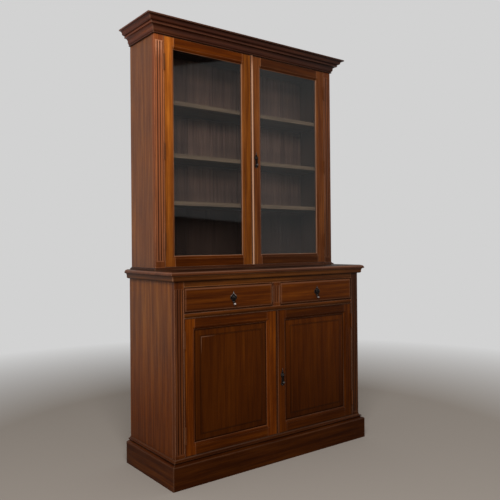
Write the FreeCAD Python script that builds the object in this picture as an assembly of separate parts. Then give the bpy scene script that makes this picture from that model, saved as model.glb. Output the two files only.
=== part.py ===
import FreeCAD, Part
import os

# Glazed bookcase in two parts: a cupboard base with two drawers and two
# panelled doors, and a shallower case with two glass doors that stands on it.
# Millimetres.  +Z is up, +X is to the right seen from the front, the front
# faces -Y.  The origin is on the floor, under the middle of the bounding box.

os.makedirs("parts", exist_ok=True)
V = FreeCAD.Vector

# ---------------------------------------------------------------- overall
total_height = 2250.0
base_width = 1230.0
base_depth = 460.0
base_height = 1005.0
upper_setback = 12.5
upper_depth = 262.0

# ---------------------------------------------------------------- plinth and counter
plinth_height = 107.0
plinth_thickness = 25.0
plinth_moulding_height = 28.0
counter_thickness = 20.0
counter_overhang = 30.0
counter_moulding_height = 27.0
counter_moulding_reach = 24.0

# ---------------------------------------------------------------- base carcass
base_side_thickness = 22.0
face_thickness = 24.0
base_pilaster_width = 53.0
base_floor_thickness = 22.0
top_rail_visible = 28.0
drawer_opening_height = 124.0
drawer_rail_height = 22.0
drawer_rail_depth = 80.0
mullion_width = 50.0
runner_overlap = 22.0
guide_height = 20.0
kicker_height = 22.0
back_rail_depth = 22.0
stop_size = 12.0
stop_inset = 80.0
rail_line_lift = 7.0
rail_line_depth = 1.0
cupboard_shelf_height = 450.0
cupboard_shelf_thickness = 20.0
cupboard_shelf_setback = 16.0
cleat_size = 20.0

# ---------------------------------------------------------------- upper carcass
upper_side_thickness = 20.0
upper_pilaster_width = 53.0
foot_thickness = 13.0
foot_projection = 12.0
cornice_height = 77.0
cornice_projection = 63.0
case_below_cornice_top = 18.0
top_board_thickness = 18.0
door_stop_depth = 12.0

# ---------------------------------------------------------------- back boards
board_thickness = 12.0
board_pitch = 170.0
board_rebate = 10.0
first_board = 150.0
least_board = 60.0
tongue_length = 5.0
tongue_thickness = 4.0
board_chamfer = 1.8

# ---------------------------------------------------------------- shelves of the upper case
shelf_thickness = 20.0
shelf_setback = 8.0
shelf_heights = {"shelf_bottom": 1333.0, "shelf_middle": 1575.0, "shelf_top": 1843.0}
peg_radius = 3.0
peg_reach = 12.0
peg_inset = 35.0
peg_pitch = 26.8
peg_hole_steps = (-1, 0, 1)

# ---------------------------------------------------------------- reeding
reed_count = 3
reed_width = 14.5
reed_depth = 3.8
reed_crest = 0.5
reed_stop = 12.0
upper_reed_margin = 26.0
base_reed_margin = 30.0
base_reed_foot = 10.0
mullion_reed_margin = 12.0

# ---------------------------------------------------------------- doors
door_thickness = 23.0
door_gap = 1.5
sticking_width = 14.0
sticking_depth = 9.0
upper_stile = 57.0
upper_top_rail = 57.5
upper_bottom_rail = 55.0
upper_meeting_offset = 7.0
upper_sight_inner = 64.0
upper_bead_radius = 7.5
lower_stile = 57.0
lower_top_rail = 55.0
lower_bottom_rail = 57.0
lower_meeting_offset = 2.5
lower_sight_inner = 65.0
lower_bead_radius = 6.0
glass_thickness = 3.0
glass_rebate = 9.0
glass_rebate_depth = 11.0
glass_edge_play = 1.5
glazing_bead_width = 7.0
panel_groove_depth = 9.0
panel_groove_width = 7.0
panel_groove_setback = 1.5
panel_bevel = 34.0
panel_step = 2.5
panel_field_rise = 5.5

# ---------------------------------------------------------------- drawers
drawer_front_thickness = 21.0
drawer_side_thickness = 12.0
drawer_side_height = 118.0
drawer_length = 400.0
drawer_bottom_thickness = 7.0
drawer_bottom_lift = 8.0
drawer_groove = 5.0
drawer_play = 1.0
drawer_front_step = 4.0
drawer_front_ovolo = 7.0
drawer_stop_places = (0.25, 0.75)
drawer_stop_width = 40.0
drawer_stop_length = 30.0
drawer_stop_height = 6.0

# ---------------------------------------------------------------- hinges
hinge_length = 76.0
hinge_leaf_depth = 20.0
hinge_leaf_thickness = 1.8
hinge_let_in = 1.2
hinge_proud = 4.0
knuckle_radius = 3.6
knuckle_count = 5
hinge_pin_radius = 2.0
pin_clearance = 0.05
pin_head_height = 2.0
upper_hinge_count = 3
lower_hinge_count = 2
upper_hinge_inset = 130.0
lower_hinge_inset = 100.0
screw_radius = 1.4
screw_head_radius = 2.8
screw_head_height = 1.3
screw_length = 14.0
screws_per_leaf = 3
screw_margin = 12.0
screw_from_face = 12.4

# ---------------------------------------------------------------- bolts and locks
bolt_radius = 3.0
bolt_length = 62.0
bolt_plate_width = 16.0
bolt_plate_thickness = 1.5
bolt_plate_length = 58.0
bolt_guide_length = 9.0
bolt_guide_size = 10.0
bolt_knob_radius = 2.2
bolt_knob_reach = 9.0
bolt_knob_play = 3.0
bolt_plate_setback = 1.0
bolt_travel = 10.0
bolt_rest_gap = 2.0
bolt_end_play = 1.5
bolt_hole_play = 0.5
bolt_from_edge = 28.0
lock_width = 38.0
lock_height = 56.0
lock_depth = 11.0
lock_bolt_width = 20.0
lock_bolt_height = 14.0
lock_bolt_thickness = 5.0
lock_bolt_travel = 7.0
lock_bolt_rest = 0.5
mortise_play = 1.0

# ---------------------------------------------------------------- handles
handle_plate_thickness = 2.5
boss_radius = 7.5
boss_height = 2.0
ear_thickness = 2.5
ear_radius = 4.0
ear_gap = 4.6
handle_pin_radius = 1.25
drop_eye_radius = 3.6
drop_eye_thickness = 4.0
drop_bulb_radius = 6.0
drop_proud = 9.5
drawer_drop_length = 42.0
door_drop_length = 46.0
drawer_plate_width = 36.0
drawer_plate_above = 28.0
drawer_plate_below = 38.0
door_plate_width = 24.0
door_plate_above = 34.0
door_plate_below = 60.0
drawer_handle_lift = 64.0
left_drawer_handle_shift = 16.5
right_drawer_handle_shift = 2.5
upper_handle_height = 1608.0
lower_handle_height = 440.0
upper_handle_from_bead = 19.0
lower_handle_from_bead = 26.0

# ---------------------------------------------------------------- clearances
slide_clearance = 0.3
fit_clearance = 0.1
shelf_play = 1.0
over = 1.0

# ---------------------------------------------------------------- moulding shapes
# Each list holds (share of the reach, share of the height, bulge), from the
# bottom up.  A bulge is the tangent of a quarter of the arc's angle: a
# negative one swells outwards and a positive one is hollow.
half_circle = 1.0
quarter_circle = 0.4142
plinth_shape = [(0, 0), (1, 0), (0.8, 0.2, -quarter_circle), (0.42, 0.32), (0.28, 0.48, 0.4), (0.42, 0.5),
                (0.42, 0.72, -half_circle), (0.28, 0.74), (0.1, 1, 0.3), (0, 1)]
counter_moulding_shape = [(0, 0), (0.38, 0), (0.72, 0.36, -0.4), (0.9, 1, 0.2), (0, 1)]
counter_edge_shape = [(0.86, 0), (1, 0.25, -0.3), (0.5, 0.95, -0.38), (0.47, 1)]
foot_shape = [(0.729, 0), (0.729, 0.5, -half_circle), (0.1, 1, 0.3)]
cornice_shape = [(0, 0), (0.08, 0), (0.08, 0.1, -half_circle), (0.22, 0.29, -0.3), (0.22, 0.34),
                 (0.49, 0.49, 0.4), (0.52, 0.49), (0.52, 0.64), (0.57, 0.64), (0.74, 0.78, -0.4),
                 (0.95, 0.91, 0.4), (1, 0.91), (1, 1), (0, 1)]

# Shapes cut from front to back list (share of the width, share of the depth).
sticking_shape = [(1, 0.17), (0.11, 1, 0.3), (0, 1)]
drawer_edge_shape = [(-1, 0), (-1, 0.25), (-0.15, 1, -0.2), (0, 1)]

# Right halves of the handle plates from top to foot: (share of the half width,
# share of the height above or below the pivot, bulge), swelling if positive.
drawer_plate_shape = [(0, 1), (0.82, 0.25, -0.25), (0.82, -0.35, 0.5), (0, -1, -0.2)]
door_plate_shape = [(0, 1), (0.4, 0.45, -0.1), (0.8, 0.2, -0.2), (0.8, -0.15, 0.25), (0.5, -0.25, -0.3),
                    (0.5, -0.6), (0.8, -0.7, -0.3), (0.8, -0.85, 0.4), (0, -1, -0.2)]

# Half outline of a drop from its eye down: (share of the bulb's radius, share
# of the length, bulge).
drop_shape = [(0, 0.06), (0.28, 0.06), (0.28, 0.6), (0.6, 0.74, -0.2), (0.35, 0.956, 0.643), (0, 1)]

# ---------------------------------------------------------------- levels worked out from the sizes above
overall_depth = base_depth + counter_overhang
back_y = overall_depth / 2
base_face = back_y - base_depth
upper_face = back_y - upper_depth
board_front = back_y - board_thickness
base_half = base_width / 2
upper_half = base_half - upper_setback
base_inner = base_half - base_side_thickness
upper_inner = upper_half - upper_side_thickness
base_opening = base_half - base_pilaster_width
upper_opening = upper_half - upper_pilaster_width
base_frame_back = base_face + face_thickness
upper_frame_back = upper_face + face_thickness
base_floor = plinth_height + plinth_moulding_height
counter_under = base_height - counter_thickness
base_body_top = counter_under - counter_moulding_height
drawer_top = base_body_top - top_rail_visible
drawer_floor = drawer_top - drawer_opening_height
lower_door_top = drawer_floor - drawer_rail_height
upper_floor = base_height + foot_thickness
cornice_bottom = total_height - cornice_height
upper_case_top = total_height - case_below_cornice_top
door_stop_level = cornice_bottom - door_stop_depth
mullion_half = mullion_width / 2
drawer_rail_back = base_face + drawer_rail_depth
bolt_hole_depth = bolt_travel + bolt_end_play


# ---------------------------------------------------------------- geometry helpers
def box(x0, x1, y0, y1, z0, z1):
    """Rectangular solid between two corners."""
    return Part.makeBox(x1 - x0, y1 - y0, z1 - z0, V(x0, y0, z0))


def mirrored(shape):
    """The same piece on the other side of the centre plane."""
    return shape.mirror(V(0, 0, 0), V(1, 0, 0))


def path_edges(points, place):
    """Edges through (u, v) or (u, v, bulge) points; a bulge makes an arc to that
    point, with its rise given as a share of half the chord, to the left if positive."""
    edges = []
    for start, end in zip(points, points[1:]):
        a = place(start[0], start[1])
        b = place(end[0], end[1])
        if len(end) == 3:
            rise = end[2] / 2
            middle_u = (start[0] + end[0]) / 2 - (end[1] - start[1]) * rise
            middle_v = (start[1] + end[1]) / 2 + (end[0] - start[0]) * rise
            edges.append(Part.Arc(a, place(middle_u, middle_v), b).toShape())
        else:
            edges.append(Part.LineSegment(a, b).toShape())
    return edges


def scaled(shape, reach, height, low=0.0):
    """A moulding shape at its full size, standing on a level."""
    return [(point[0] * reach, low + point[1] * height, *point[2:]) for point in shape]


def face_of(edges):
    """Flat face inside a closed set of edges given in order."""
    return Part.Face(Part.Wire(edges))


def prism(points, place, direction):
    """Closed outline pushed along a direction."""
    return face_of(path_edges(points + [points[0][:2]], place)).extrude(direction)


def profile_bar(low, high, chain, place, direction):
    """Bar whose two edges at low and high both follow a chain of (offset, depth)
    points, the offsets counted outwards."""
    lower = path_edges(chain, lambda off, depth: place(low - off, depth))
    upper = path_edges(chain, lambda off, depth: place(high + off, depth))
    first, last = chain[0], chain[-1]
    start_line = Part.LineSegment(place(low - first[0], first[1]), place(high + first[0], first[1]))
    end_line = Part.LineSegment(place(low - last[0], last[1]), place(high + last[0], last[1]))
    edges = [start_line.toShape()] + upper + [end_line.toShape()] + lower
    return face_of(Part.__sortEdges__(edges)).extrude(direction)


def panel_shape(x0, x1, z0, z1, chain):
    """Upright panel or hole whose four edges follow one chain of (offset, y) points,
    mitred at the corners: the common part of an upright and a level bar."""
    reach = max(point[0] for point in chain) + over
    upright = profile_bar(x0, x1, chain, lambda x, y: V(x, y, z0 - reach), V(0, 0, z1 - z0 + 2 * reach))
    level = profile_bar(z0, z1, chain, lambda z, y: V(x0 - reach, y, z), V(x1 - x0 + 2 * reach, 0, 0))
    return upright.common(level)


def moulded_board(half, front, back, chain):
    """Level board with its front and both side edges cut to a chain of
    (projection, z) points."""
    reach = max(point[0] for point in chain) + over
    across = profile_bar(-half, half, chain, lambda x, z: V(x, front - reach, z),
                         V(0, back - front + reach, 0))
    edges = path_edges(chain, lambda off, z: V(-half - reach, front - off, z))
    top = V(-half - reach, back, chain[-1][1])
    bottom = V(-half - reach, back, chain[0][1])
    front_top = V(-half - reach, front - chain[-1][0], chain[-1][1])
    front_bottom = V(-half - reach, front - chain[0][0], chain[0][1])
    edges += [Part.LineSegment(front_top, top).toShape()]
    edges += [Part.LineSegment(top, bottom).toShape()]
    edges += [Part.LineSegment(bottom, front_bottom).toShape()]
    along = face_of(edges).extrude(V(2 * (half + reach), 0, 0))
    return across.common(along)


def mitred_lengths(outline, half, front, back, reach):
    """Front, left and right lengths of a moulding planted on three faces, mitred
    at the corners.  The outline holds (projection, z) points."""
    z_values = [point[1] for point in outline]
    low, high = min(z_values) - over, max(z_values) + over
    front_bar = prism(outline, lambda p, z: V(-half - reach, front - p, z), V(2 * (half + reach), 0, 0))
    side_bar = prism(outline, lambda p, z: V(half + p, front - reach, z), V(0, back - front + reach, 0))

    def wedge(corners):
        return prism(corners, lambda x, y: V(x, y, low), V(0, 0, high - low))

    front_wedge = wedge([(-half, front), (half, front), (half + reach, front - reach),
                         (-half - reach, front - reach)])
    side_wedge = wedge([(half, front), (half + reach, front - reach), (half + reach, back), (half, back)])
    front_piece = front_bar.common(front_wedge)
    right_piece = side_bar.common(side_wedge)
    return front_piece, mirrored(right_piece), right_piece


def cylinder(radius, length, start, direction):
    return Part.makeCylinder(radius, length, start, direction)


pieces = {}


def keep(name, *shapes):
    """File the solids of one sub-part under its name."""
    solids = []
    for shape in shapes:
        solids += shape.Solids
    pieces[name] = solids


def cut_from(name, *tools):
    """Cut every solid filed under a name with the tools that reach it."""
    tool = Part.makeCompound(list(tools))
    solids = []
    for solid in pieces[name]:
        solids += solid.cut(tool).Solids
    pieces[name] = solids


# ---------------------------------------------------------------- reeded uprights
def reeding_tool(x_middle, face, z0, z1):
    """Waste between and beside the reeds, sloped out at both ends."""
    half = reed_count * reed_width / 2
    rise = 2 * (reed_depth - reed_crest) / reed_width
    section = [(x_middle - half, face - over), (x_middle - half, face + reed_depth)]
    for index in range(reed_count):
        section.append((x_middle - half + (index + 1) * reed_width, face + reed_depth, -rise))
    section.append((x_middle + half, face - over))
    bar = prism(section, lambda x, y: V(x, y, z0), V(0, 0, z1 - z0))
    slope = reed_stop * (1 + over / reed_depth)
    ends = [(face - over, z0 - over), (face + reed_depth, z0 + slope), (face + reed_depth, z1 - slope),
            (face - over, z1 + over)]
    return bar.common(prism(ends, lambda y, z: V(x_middle - half - over, y, z), V(2 * (half + over), 0, 0)))


def upright(x0, x1, face, z0, z1, reed_low, reed_high):
    """Face-frame upright with reeds down its middle."""
    blank = box(x0, x1, face, face + face_thickness, z0, z1)
    return blank.cut(reeding_tool((x0 + x1) / 2, face, reed_low, reed_high))


# ---------------------------------------------------------------- tongued and grooved backs
def board_row(half, z0, z1):
    """Row of upright boards, each with a tongue on its right edge, a groove on
    its left edge and a small chamfer at each joint."""
    joints = [-half]
    place = -half + first_board
    while place < half - least_board:
        joints.append(place)
        place += board_pitch
    joints.append(half)
    middle = board_front + board_thickness / 2
    half_tongue = tongue_thickness / 2
    boards = []
    for index in range(len(joints) - 1):
        left, right = joints[index], joints[index + 1]
        board = box(left, right, board_front, back_y, z0, z1)
        if index > 0:
            groove = half_tongue + slide_clearance
            board = board.cut(box(left - over, left + tongue_length + slide_clearance,
                                  middle - groove, middle + groove, z0 - over, z1 + over))
            board = board.cut(prism([(left, board_front), (left + board_chamfer, board_front),
                                     (left, board_front + board_chamfer)],
                                    lambda x, y: V(x, y, z0 - over), V(0, 0, z1 - z0 + 2 * over)))
        if index < len(joints) - 2:
            board = board.cut(prism([(right, board_front), (right - board_chamfer, board_front),
                                     (right, board_front + board_chamfer)],
                                    lambda x, y: V(x, y, z0 - over), V(0, 0, z1 - z0 + 2 * over)))
            board = board.fuse(box(right, right + tongue_length, middle - half_tongue,
                                   middle + half_tongue, z0, z1)).removeSplitter()
        boards.append(board)
    return boards


def case_side(inner, outer, front, z0, z1):
    """Right-hand side of a case, rebated for the back boards."""
    side = box(inner, outer, front, back_y, z0, z1)
    return side.cut(box(inner - over, inner + board_rebate, board_front, back_y + over, z0 - over, z1 + over))


# ---------------------------------------------------------------- base
def build_plinth():
    """Three boards planted round the foot of the base, with a stepped moulding on top."""
    board = [(0, 0), (plinth_thickness, 0), (plinth_thickness, plinth_height), (0, plinth_height)]
    moulding = scaled(plinth_shape, plinth_thickness, plinth_moulding_height, plinth_height)
    boards = mitred_lengths(board, base_half, base_face, back_y, plinth_thickness + over)
    mouldings = mitred_lengths(moulding, base_half, base_face, back_y, plinth_thickness + over)
    keep("plinth", *boards, *mouldings)


def build_base_case():
    side = case_side(base_inner, base_half, base_frame_back, 0, counter_under)
    keep("base_side_right", side)
    keep("base_side_left", mirrored(side))

    reeds_from = base_floor + base_reed_foot
    reeds_to = base_body_top - base_reed_margin
    post = upright(base_opening, base_half, base_face, 0, counter_under, reeds_from, reeds_to)
    keep("base_pilaster_right", post)
    keep("base_pilaster_left", mirrored(post))

    floor = box(-base_inner, base_inner, base_frame_back, board_front, base_floor - base_floor_thickness,
                base_floor)
    nose = box(-base_opening, base_opening, base_face, base_frame_back, base_floor - base_floor_thickness,
               base_floor)
    keep("base_bottom", floor.fuse(nose).removeSplitter())

    rail = box(-base_opening, base_opening, base_face, base_frame_back, drawer_top, counter_under)
    line_level = drawer_top + rail_line_lift
    line_half = rail_line_depth + over
    rail_line = prism([(base_face - over, line_level - line_half), (base_face + rail_line_depth, line_level),
                       (base_face - over, line_level + line_half)],
                      lambda y, z: V(-base_opening - over, y, z), V(2 * (base_opening + over), 0, 0))
    keep("base_top_rail", rail.cut(rail_line))

    front_rail = box(-base_opening, base_opening, base_face, drawer_rail_back, lower_door_top, drawer_floor)
    door_back = base_face + door_thickness
    stop = box(-base_opening + stop_inset, base_opening - stop_inset, door_back + slide_clearance,
               door_back + slide_clearance + stop_size, lower_door_top - stop_size, lower_door_top)
    keep("drawer_rail", front_rail, stop)

    keep("drawer_mullion", upright(-mullion_half, mullion_half, base_face, drawer_floor, drawer_top,
                                   drawer_floor + mullion_reed_margin, drawer_top - mullion_reed_margin))
    keep("base_back_boards", *board_row(base_inner + board_rebate, base_floor - base_floor_thickness,
                                        counter_under))


def build_drawer_runners():
    """Runners under the drawer sides, guides beside them, kickers above them, the
    back rail that carries the middle runner, and the blocks that stop each front
    flush with the frame."""
    rail_front = board_front - back_rail_depth
    under = lower_door_top
    side_in = base_opening - runner_overlap
    guide_in = base_opening
    middle_out = mullion_half + runner_overlap
    middle_guide = mullion_half
    back_rail = box(-base_inner, base_inner, rail_front, board_front, under, drawer_floor)
    runner = box(side_in, base_inner, drawer_rail_back, rail_front, under, drawer_floor)
    middle = box(-middle_out, middle_out, drawer_rail_back, rail_front, under, drawer_floor)
    guide = box(guide_in, base_inner, base_frame_back, board_front, drawer_floor, drawer_floor + guide_height)
    middle_rib = box(-middle_guide, middle_guide, base_frame_back, board_front, drawer_floor,
                     drawer_floor + guide_height)
    kicker = box(side_in, base_inner, base_frame_back, board_front, drawer_top, drawer_top + kicker_height)
    middle_kicker = box(-middle_out, middle_out, base_frame_back, board_front, drawer_top,
                        drawer_top + kicker_height)
    stop_front = base_face + drawer_front_thickness + 2 * slide_clearance
    stops = []
    for share in drawer_stop_places:
        x = mullion_half + share * (base_opening - mullion_half)
        stops.append(box(x - drawer_stop_width / 2, x + drawer_stop_width / 2, stop_front,
                         stop_front + drawer_stop_length, drawer_floor, drawer_floor + drawer_stop_height))
    stops += [mirrored(stop) for stop in stops]
    keep("drawer_runners", back_rail, middle, runner, mirrored(runner), middle_rib, guide, mirrored(guide),
         middle_kicker, kicker, mirrored(kicker), *stops)


def build_cupboard_shelf():
    front = base_frame_back + cupboard_shelf_setback
    keep("cupboard_shelf", box(-base_inner + shelf_play, base_inner - shelf_play, front,
                               board_front - shelf_play, cupboard_shelf_height,
                               cupboard_shelf_height + cupboard_shelf_thickness))
    cleat = box(base_inner - cleat_size, base_inner, front + cleat_size, board_front,
                cupboard_shelf_height - cleat_size, cupboard_shelf_height)
    keep("shelf_cleats", cleat, mirrored(cleat))


def build_counter():
    """Board on top of the base with a thumb-moulded edge, over an ogee moulding."""
    chain = scaled(counter_edge_shape, counter_overhang, counter_thickness, counter_under)
    keep("base_top", moulded_board(base_half, base_face, back_y, chain))
    reach = counter_moulding_reach
    outline = scaled(counter_moulding_shape, reach, counter_moulding_height, base_body_top)
    keep("base_top_moulding", *mitred_lengths(outline, base_half, base_face, back_y, reach + over))


# ---------------------------------------------------------------- upper case
def build_upper_case():
    chain = scaled(foot_shape, foot_projection, foot_thickness, base_height)
    keep("upper_bottom", moulded_board(upper_half, upper_face, back_y, chain))

    side = case_side(upper_inner, upper_half, upper_frame_back, upper_floor, upper_case_top)
    keep("upper_side_right", side)
    keep("upper_side_left", mirrored(side))
    post = upright(upper_opening, upper_half, upper_face, upper_floor, upper_case_top,
                   upper_floor + upper_reed_margin, cornice_bottom - upper_reed_margin)
    keep("upper_pilaster_right", post)
    keep("upper_pilaster_left", mirrored(post))
    keep("upper_head_rail", box(-upper_opening, upper_opening, upper_face, upper_frame_back,
                                cornice_bottom, upper_case_top))
    keep("upper_top", box(-upper_inner, upper_inner, upper_frame_back, board_front,
                          door_stop_level, door_stop_level + top_board_thickness))
    keep("upper_back_boards", *board_row(upper_inner + board_rebate, upper_floor, upper_case_top))


def build_cornice():
    """Bead, ovolo, cove, fillet and large ogee, rising outwards to the top."""
    outline = scaled(cornice_shape, cornice_projection, cornice_height, cornice_bottom)
    keep("cornice", *mitred_lengths(outline, upper_half, upper_face, back_y, cornice_projection + over))


def build_shelves():
    """Loose shelves on pegs, with a few spare peg holes above and below each."""
    front = upper_frame_back + shelf_setback
    rear = board_front - shelf_play
    rows = (front + peg_inset, rear - peg_inset)
    pegs, holes = [], []
    for name, level in shelf_heights.items():
        keep(name, box(-upper_inner + shelf_play, upper_inner - shelf_play, front, rear,
                       level, level + shelf_thickness))
        for y in rows:
            for step in peg_hole_steps:
                start = V(upper_inner - over, y, level - peg_radius + step * peg_pitch)
                holes.append(cylinder(peg_radius + fit_clearance, over + peg_reach, start, V(1, 0, 0)))
            start = V(upper_inner - peg_reach, y, level - peg_radius)
            pegs.append(cylinder(peg_radius, 2 * peg_reach, start, V(1, 0, 0)))
    cut_from("upper_side_right", *holes)
    cut_from("upper_side_left", *[mirrored(hole) for hole in holes])
    keep("shelf_pegs", *pegs, *[mirrored(peg) for peg in pegs])


# ---------------------------------------------------------------- hinges
def screw_row(x_surface, into, y, z0, z1, clearance):
    """Countersunk screws in a leaf, heads flush with the leaf's open face."""
    screws = []
    span = z1 - z0 - 2 * screw_margin
    for index in range(screws_per_leaf):
        z = z0 + screw_margin + span * index / (screws_per_leaf - 1)
        start = V(x_surface, y, z)
        head = Part.makeCone(screw_head_radius + clearance, screw_radius + clearance, screw_head_height,
                             start, V(into, 0, 0))
        shank = cylinder(screw_radius + clearance, screw_length + clearance, start, V(into, 0, 0))
        screws.append(head.fuse(shank).removeSplitter())
    return screws


def hinge_leaf(x_middle, side, face, z0, own):
    """One leaf of a butt hinge for a right-hand door.  The side is +1 for the
    leaf on the case and -1 for the leaf on the door; own lists its knuckles."""
    axis_y = face - hinge_proud
    half_gap = door_gap / 2
    deep = half_gap + hinge_let_in
    shallow = deep - hinge_leaf_thickness
    xs = sorted((x_middle + side * shallow, x_middle + side * deep))
    plate_front = axis_y + knuckle_radius + slide_clearance
    leaf = box(xs[0], xs[1], plate_front, face + hinge_leaf_depth, z0, z0 + hinge_length)
    step = hinge_length / knuckle_count
    play = slide_clearance / 2
    for index in own:
        low = z0 + index * step + (play if index > 0 else 0)
        high = z0 + (index + 1) * step - (play if index < knuckle_count - 1 else 0)
        leaf = leaf.fuse(box(xs[0], xs[1], axis_y, plate_front + over, low, high))
        leaf = leaf.fuse(cylinder(knuckle_radius, high - low, V(x_middle, axis_y, low), V(0, 0, 1)))
    bore = cylinder(hinge_pin_radius + pin_clearance, hinge_length + 2 * over,
                    V(x_middle, axis_y, z0 - over), V(0, 0, 1))
    return leaf.removeSplitter().cut(bore)


def hinge_pin(x_middle, face, z0):
    """Pin with a flat head at each end, clear of the knuckles."""
    axis_y = face - hinge_proud
    start = z0 - slide_clearance
    length = hinge_length + 2 * slide_clearance
    shaft = cylinder(hinge_pin_radius, length, V(x_middle, axis_y, start), V(0, 0, 1))
    low_head = cylinder(knuckle_radius, pin_head_height, V(x_middle, axis_y, start - pin_head_height),
                        V(0, 0, 1))
    high_head = cylinder(knuckle_radius, pin_head_height, V(x_middle, axis_y, start + length), V(0, 0, 1))
    return shaft.fuse([low_head, high_head]).removeSplitter()


case_hinge_leaves = []


def hang_door(door, fittings, pilaster, x_edge, face, z0, z1, inset, count, left):
    """Hinges for one door: leaves let into the pilaster and the door's stile."""
    turn = mirrored if left else (lambda shape: shape)
    x_middle = x_edge - door_gap / 2
    moving_knuckles = range(1, knuckle_count, 2)
    fixed_knuckles = range(0, knuckle_count, 2)
    deep = door_gap / 2 + hinge_let_in
    shallow = deep - hinge_leaf_thickness
    screw_y = face + screw_from_face
    for index in range(count):
        centre = z0 + inset + (z1 - z0 - 2 * inset) * index / (count - 1)
        low, high = centre - hinge_length / 2, centre + hinge_length / 2
        fixed = hinge_leaf(x_middle, 1, face, low, fixed_knuckles)
        moving = hinge_leaf(x_middle, -1, face, low, moving_knuckles)
        fixed_holes = screw_row(x_middle + shallow, 1, screw_y, low, high, fit_clearance)
        moving_holes = screw_row(x_middle - shallow, -1, screw_y, low, high, fit_clearance)
        fixed = fixed.cut(Part.makeCompound(fixed_holes))
        moving = moving.cut(Part.makeCompound(moving_holes))
        case_hinge_leaves.append(turn(fixed))
        case_hinge_leaves.extend(turn(s) for s in screw_row(x_middle + shallow, 1, screw_y, low, high, 0))
        fittings.append(turn(moving))
        fittings.append(turn(hinge_pin(x_middle, face, low)))
        fittings.extend(turn(s) for s in screw_row(x_middle - shallow, -1, screw_y, low, high, 0))
        case_recess = box(x_edge - over, x_middle + deep, face - over, face + hinge_leaf_depth, low, high)
        door_recess = box(x_middle - deep, x_edge - door_gap + over, face - over, face + hinge_leaf_depth,
                          low, high)
        cut_from(pilaster, turn(case_recess), *[turn(hole) for hole in fixed_holes])
        cut_from(door, turn(door_recess), *[turn(hole) for hole in moving_holes])


# ---------------------------------------------------------------- door frames
def split_frame(ring, x0, x1, sight_x0, sight_x1, sight_z0, sight_z1, face, z0, z1):
    """Two stiles that run the full height and two rails between them."""
    y0, y1 = face - over, face + door_thickness + over
    meeting = ring.common(box(x0, sight_x0, y0, y1, z0, z1))
    hanging = ring.common(box(sight_x1, x1, y0, y1, z0, z1))
    bottom = ring.common(box(sight_x0, sight_x1, y0, y1, z0, sight_z0))
    top = ring.common(box(sight_x0, sight_x1, y0, y1, sight_z1, z1))
    return [meeting, hanging, bottom, top]


def sticking_chain(face):
    """Ovolo and fillet round the front of an opening, then the square sight edge."""
    return [(sticking_width, face - over)] + scaled(sticking_shape, sticking_width, sticking_depth, face)


def meeting_bead(x_edge, radius, face, z0, z1):
    """Half-round bead planted on the meeting edge of the right-hand door."""
    outline = [(x_edge, face), (x_edge + 2 * radius, face, -half_circle)]
    return prism(outline, lambda x, y: V(x, y, z0), V(0, 0, z1 - z0))


def glazed_door(prefix, meet_x, sight_in, left):
    turn = mirrored if left else (lambda shape: shape)
    face = upper_face
    back = face + door_thickness
    x0, x1 = meet_x, upper_opening - door_gap
    z0, z1 = upper_floor + door_gap, cornice_bottom - door_gap
    sx0, sx1 = sight_in, x1 - upper_stile
    sz0, sz1 = z0 + upper_bottom_rail, z1 - upper_top_rail
    seat = back - glass_rebate_depth
    chain = sticking_chain(face) + [(0, seat), (glass_rebate, seat), (glass_rebate, back + over)]
    ring = box(x0, x1, face, back, z0, z1).cut(panel_shape(sx0, sx1, sz0, sz1, chain))
    members = split_frame(ring, x0, x1, sx0, sx1, sz0, sz1, face, z0, z1)
    if not left:
        members.append(meeting_bead(x0, upper_bead_radius, face, z0, z1))
    keep(prefix + "_door_frame", *[turn(member) for member in members])
    grow = glass_rebate - glass_edge_play
    glass_back = seat + glass_thickness
    keep(prefix + "_glass", turn(box(sx0 - grow, sx1 + grow, seat, glass_back, sz0 - grow, sz1 + grow)))
    outer = glass_rebate
    width = glazing_bead_width
    beads = [box(sx0 - outer, sx0 - outer + width, glass_back, back, sz0 - outer, sz1 + outer),
             box(sx1 + outer - width, sx1 + outer, glass_back, back, sz0 - outer, sz1 + outer),
             box(sx0 - outer + width, sx1 + outer - width, glass_back, back, sz0 - outer,
                 sz0 - outer + width),
             box(sx0 - outer + width, sx1 + outer - width, glass_back, back, sz1 + outer - width,
                 sz1 + outer)]
    keep(prefix + "_glazing_beads", *[turn(bead) for bead in beads])
    fittings = []
    hang_door(prefix + "_door_frame", fittings, "upper_pilaster_" + ("left" if left else "right"),
              upper_opening, face, z0, z1, upper_hinge_inset, upper_hinge_count, left)
    return fittings


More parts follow.
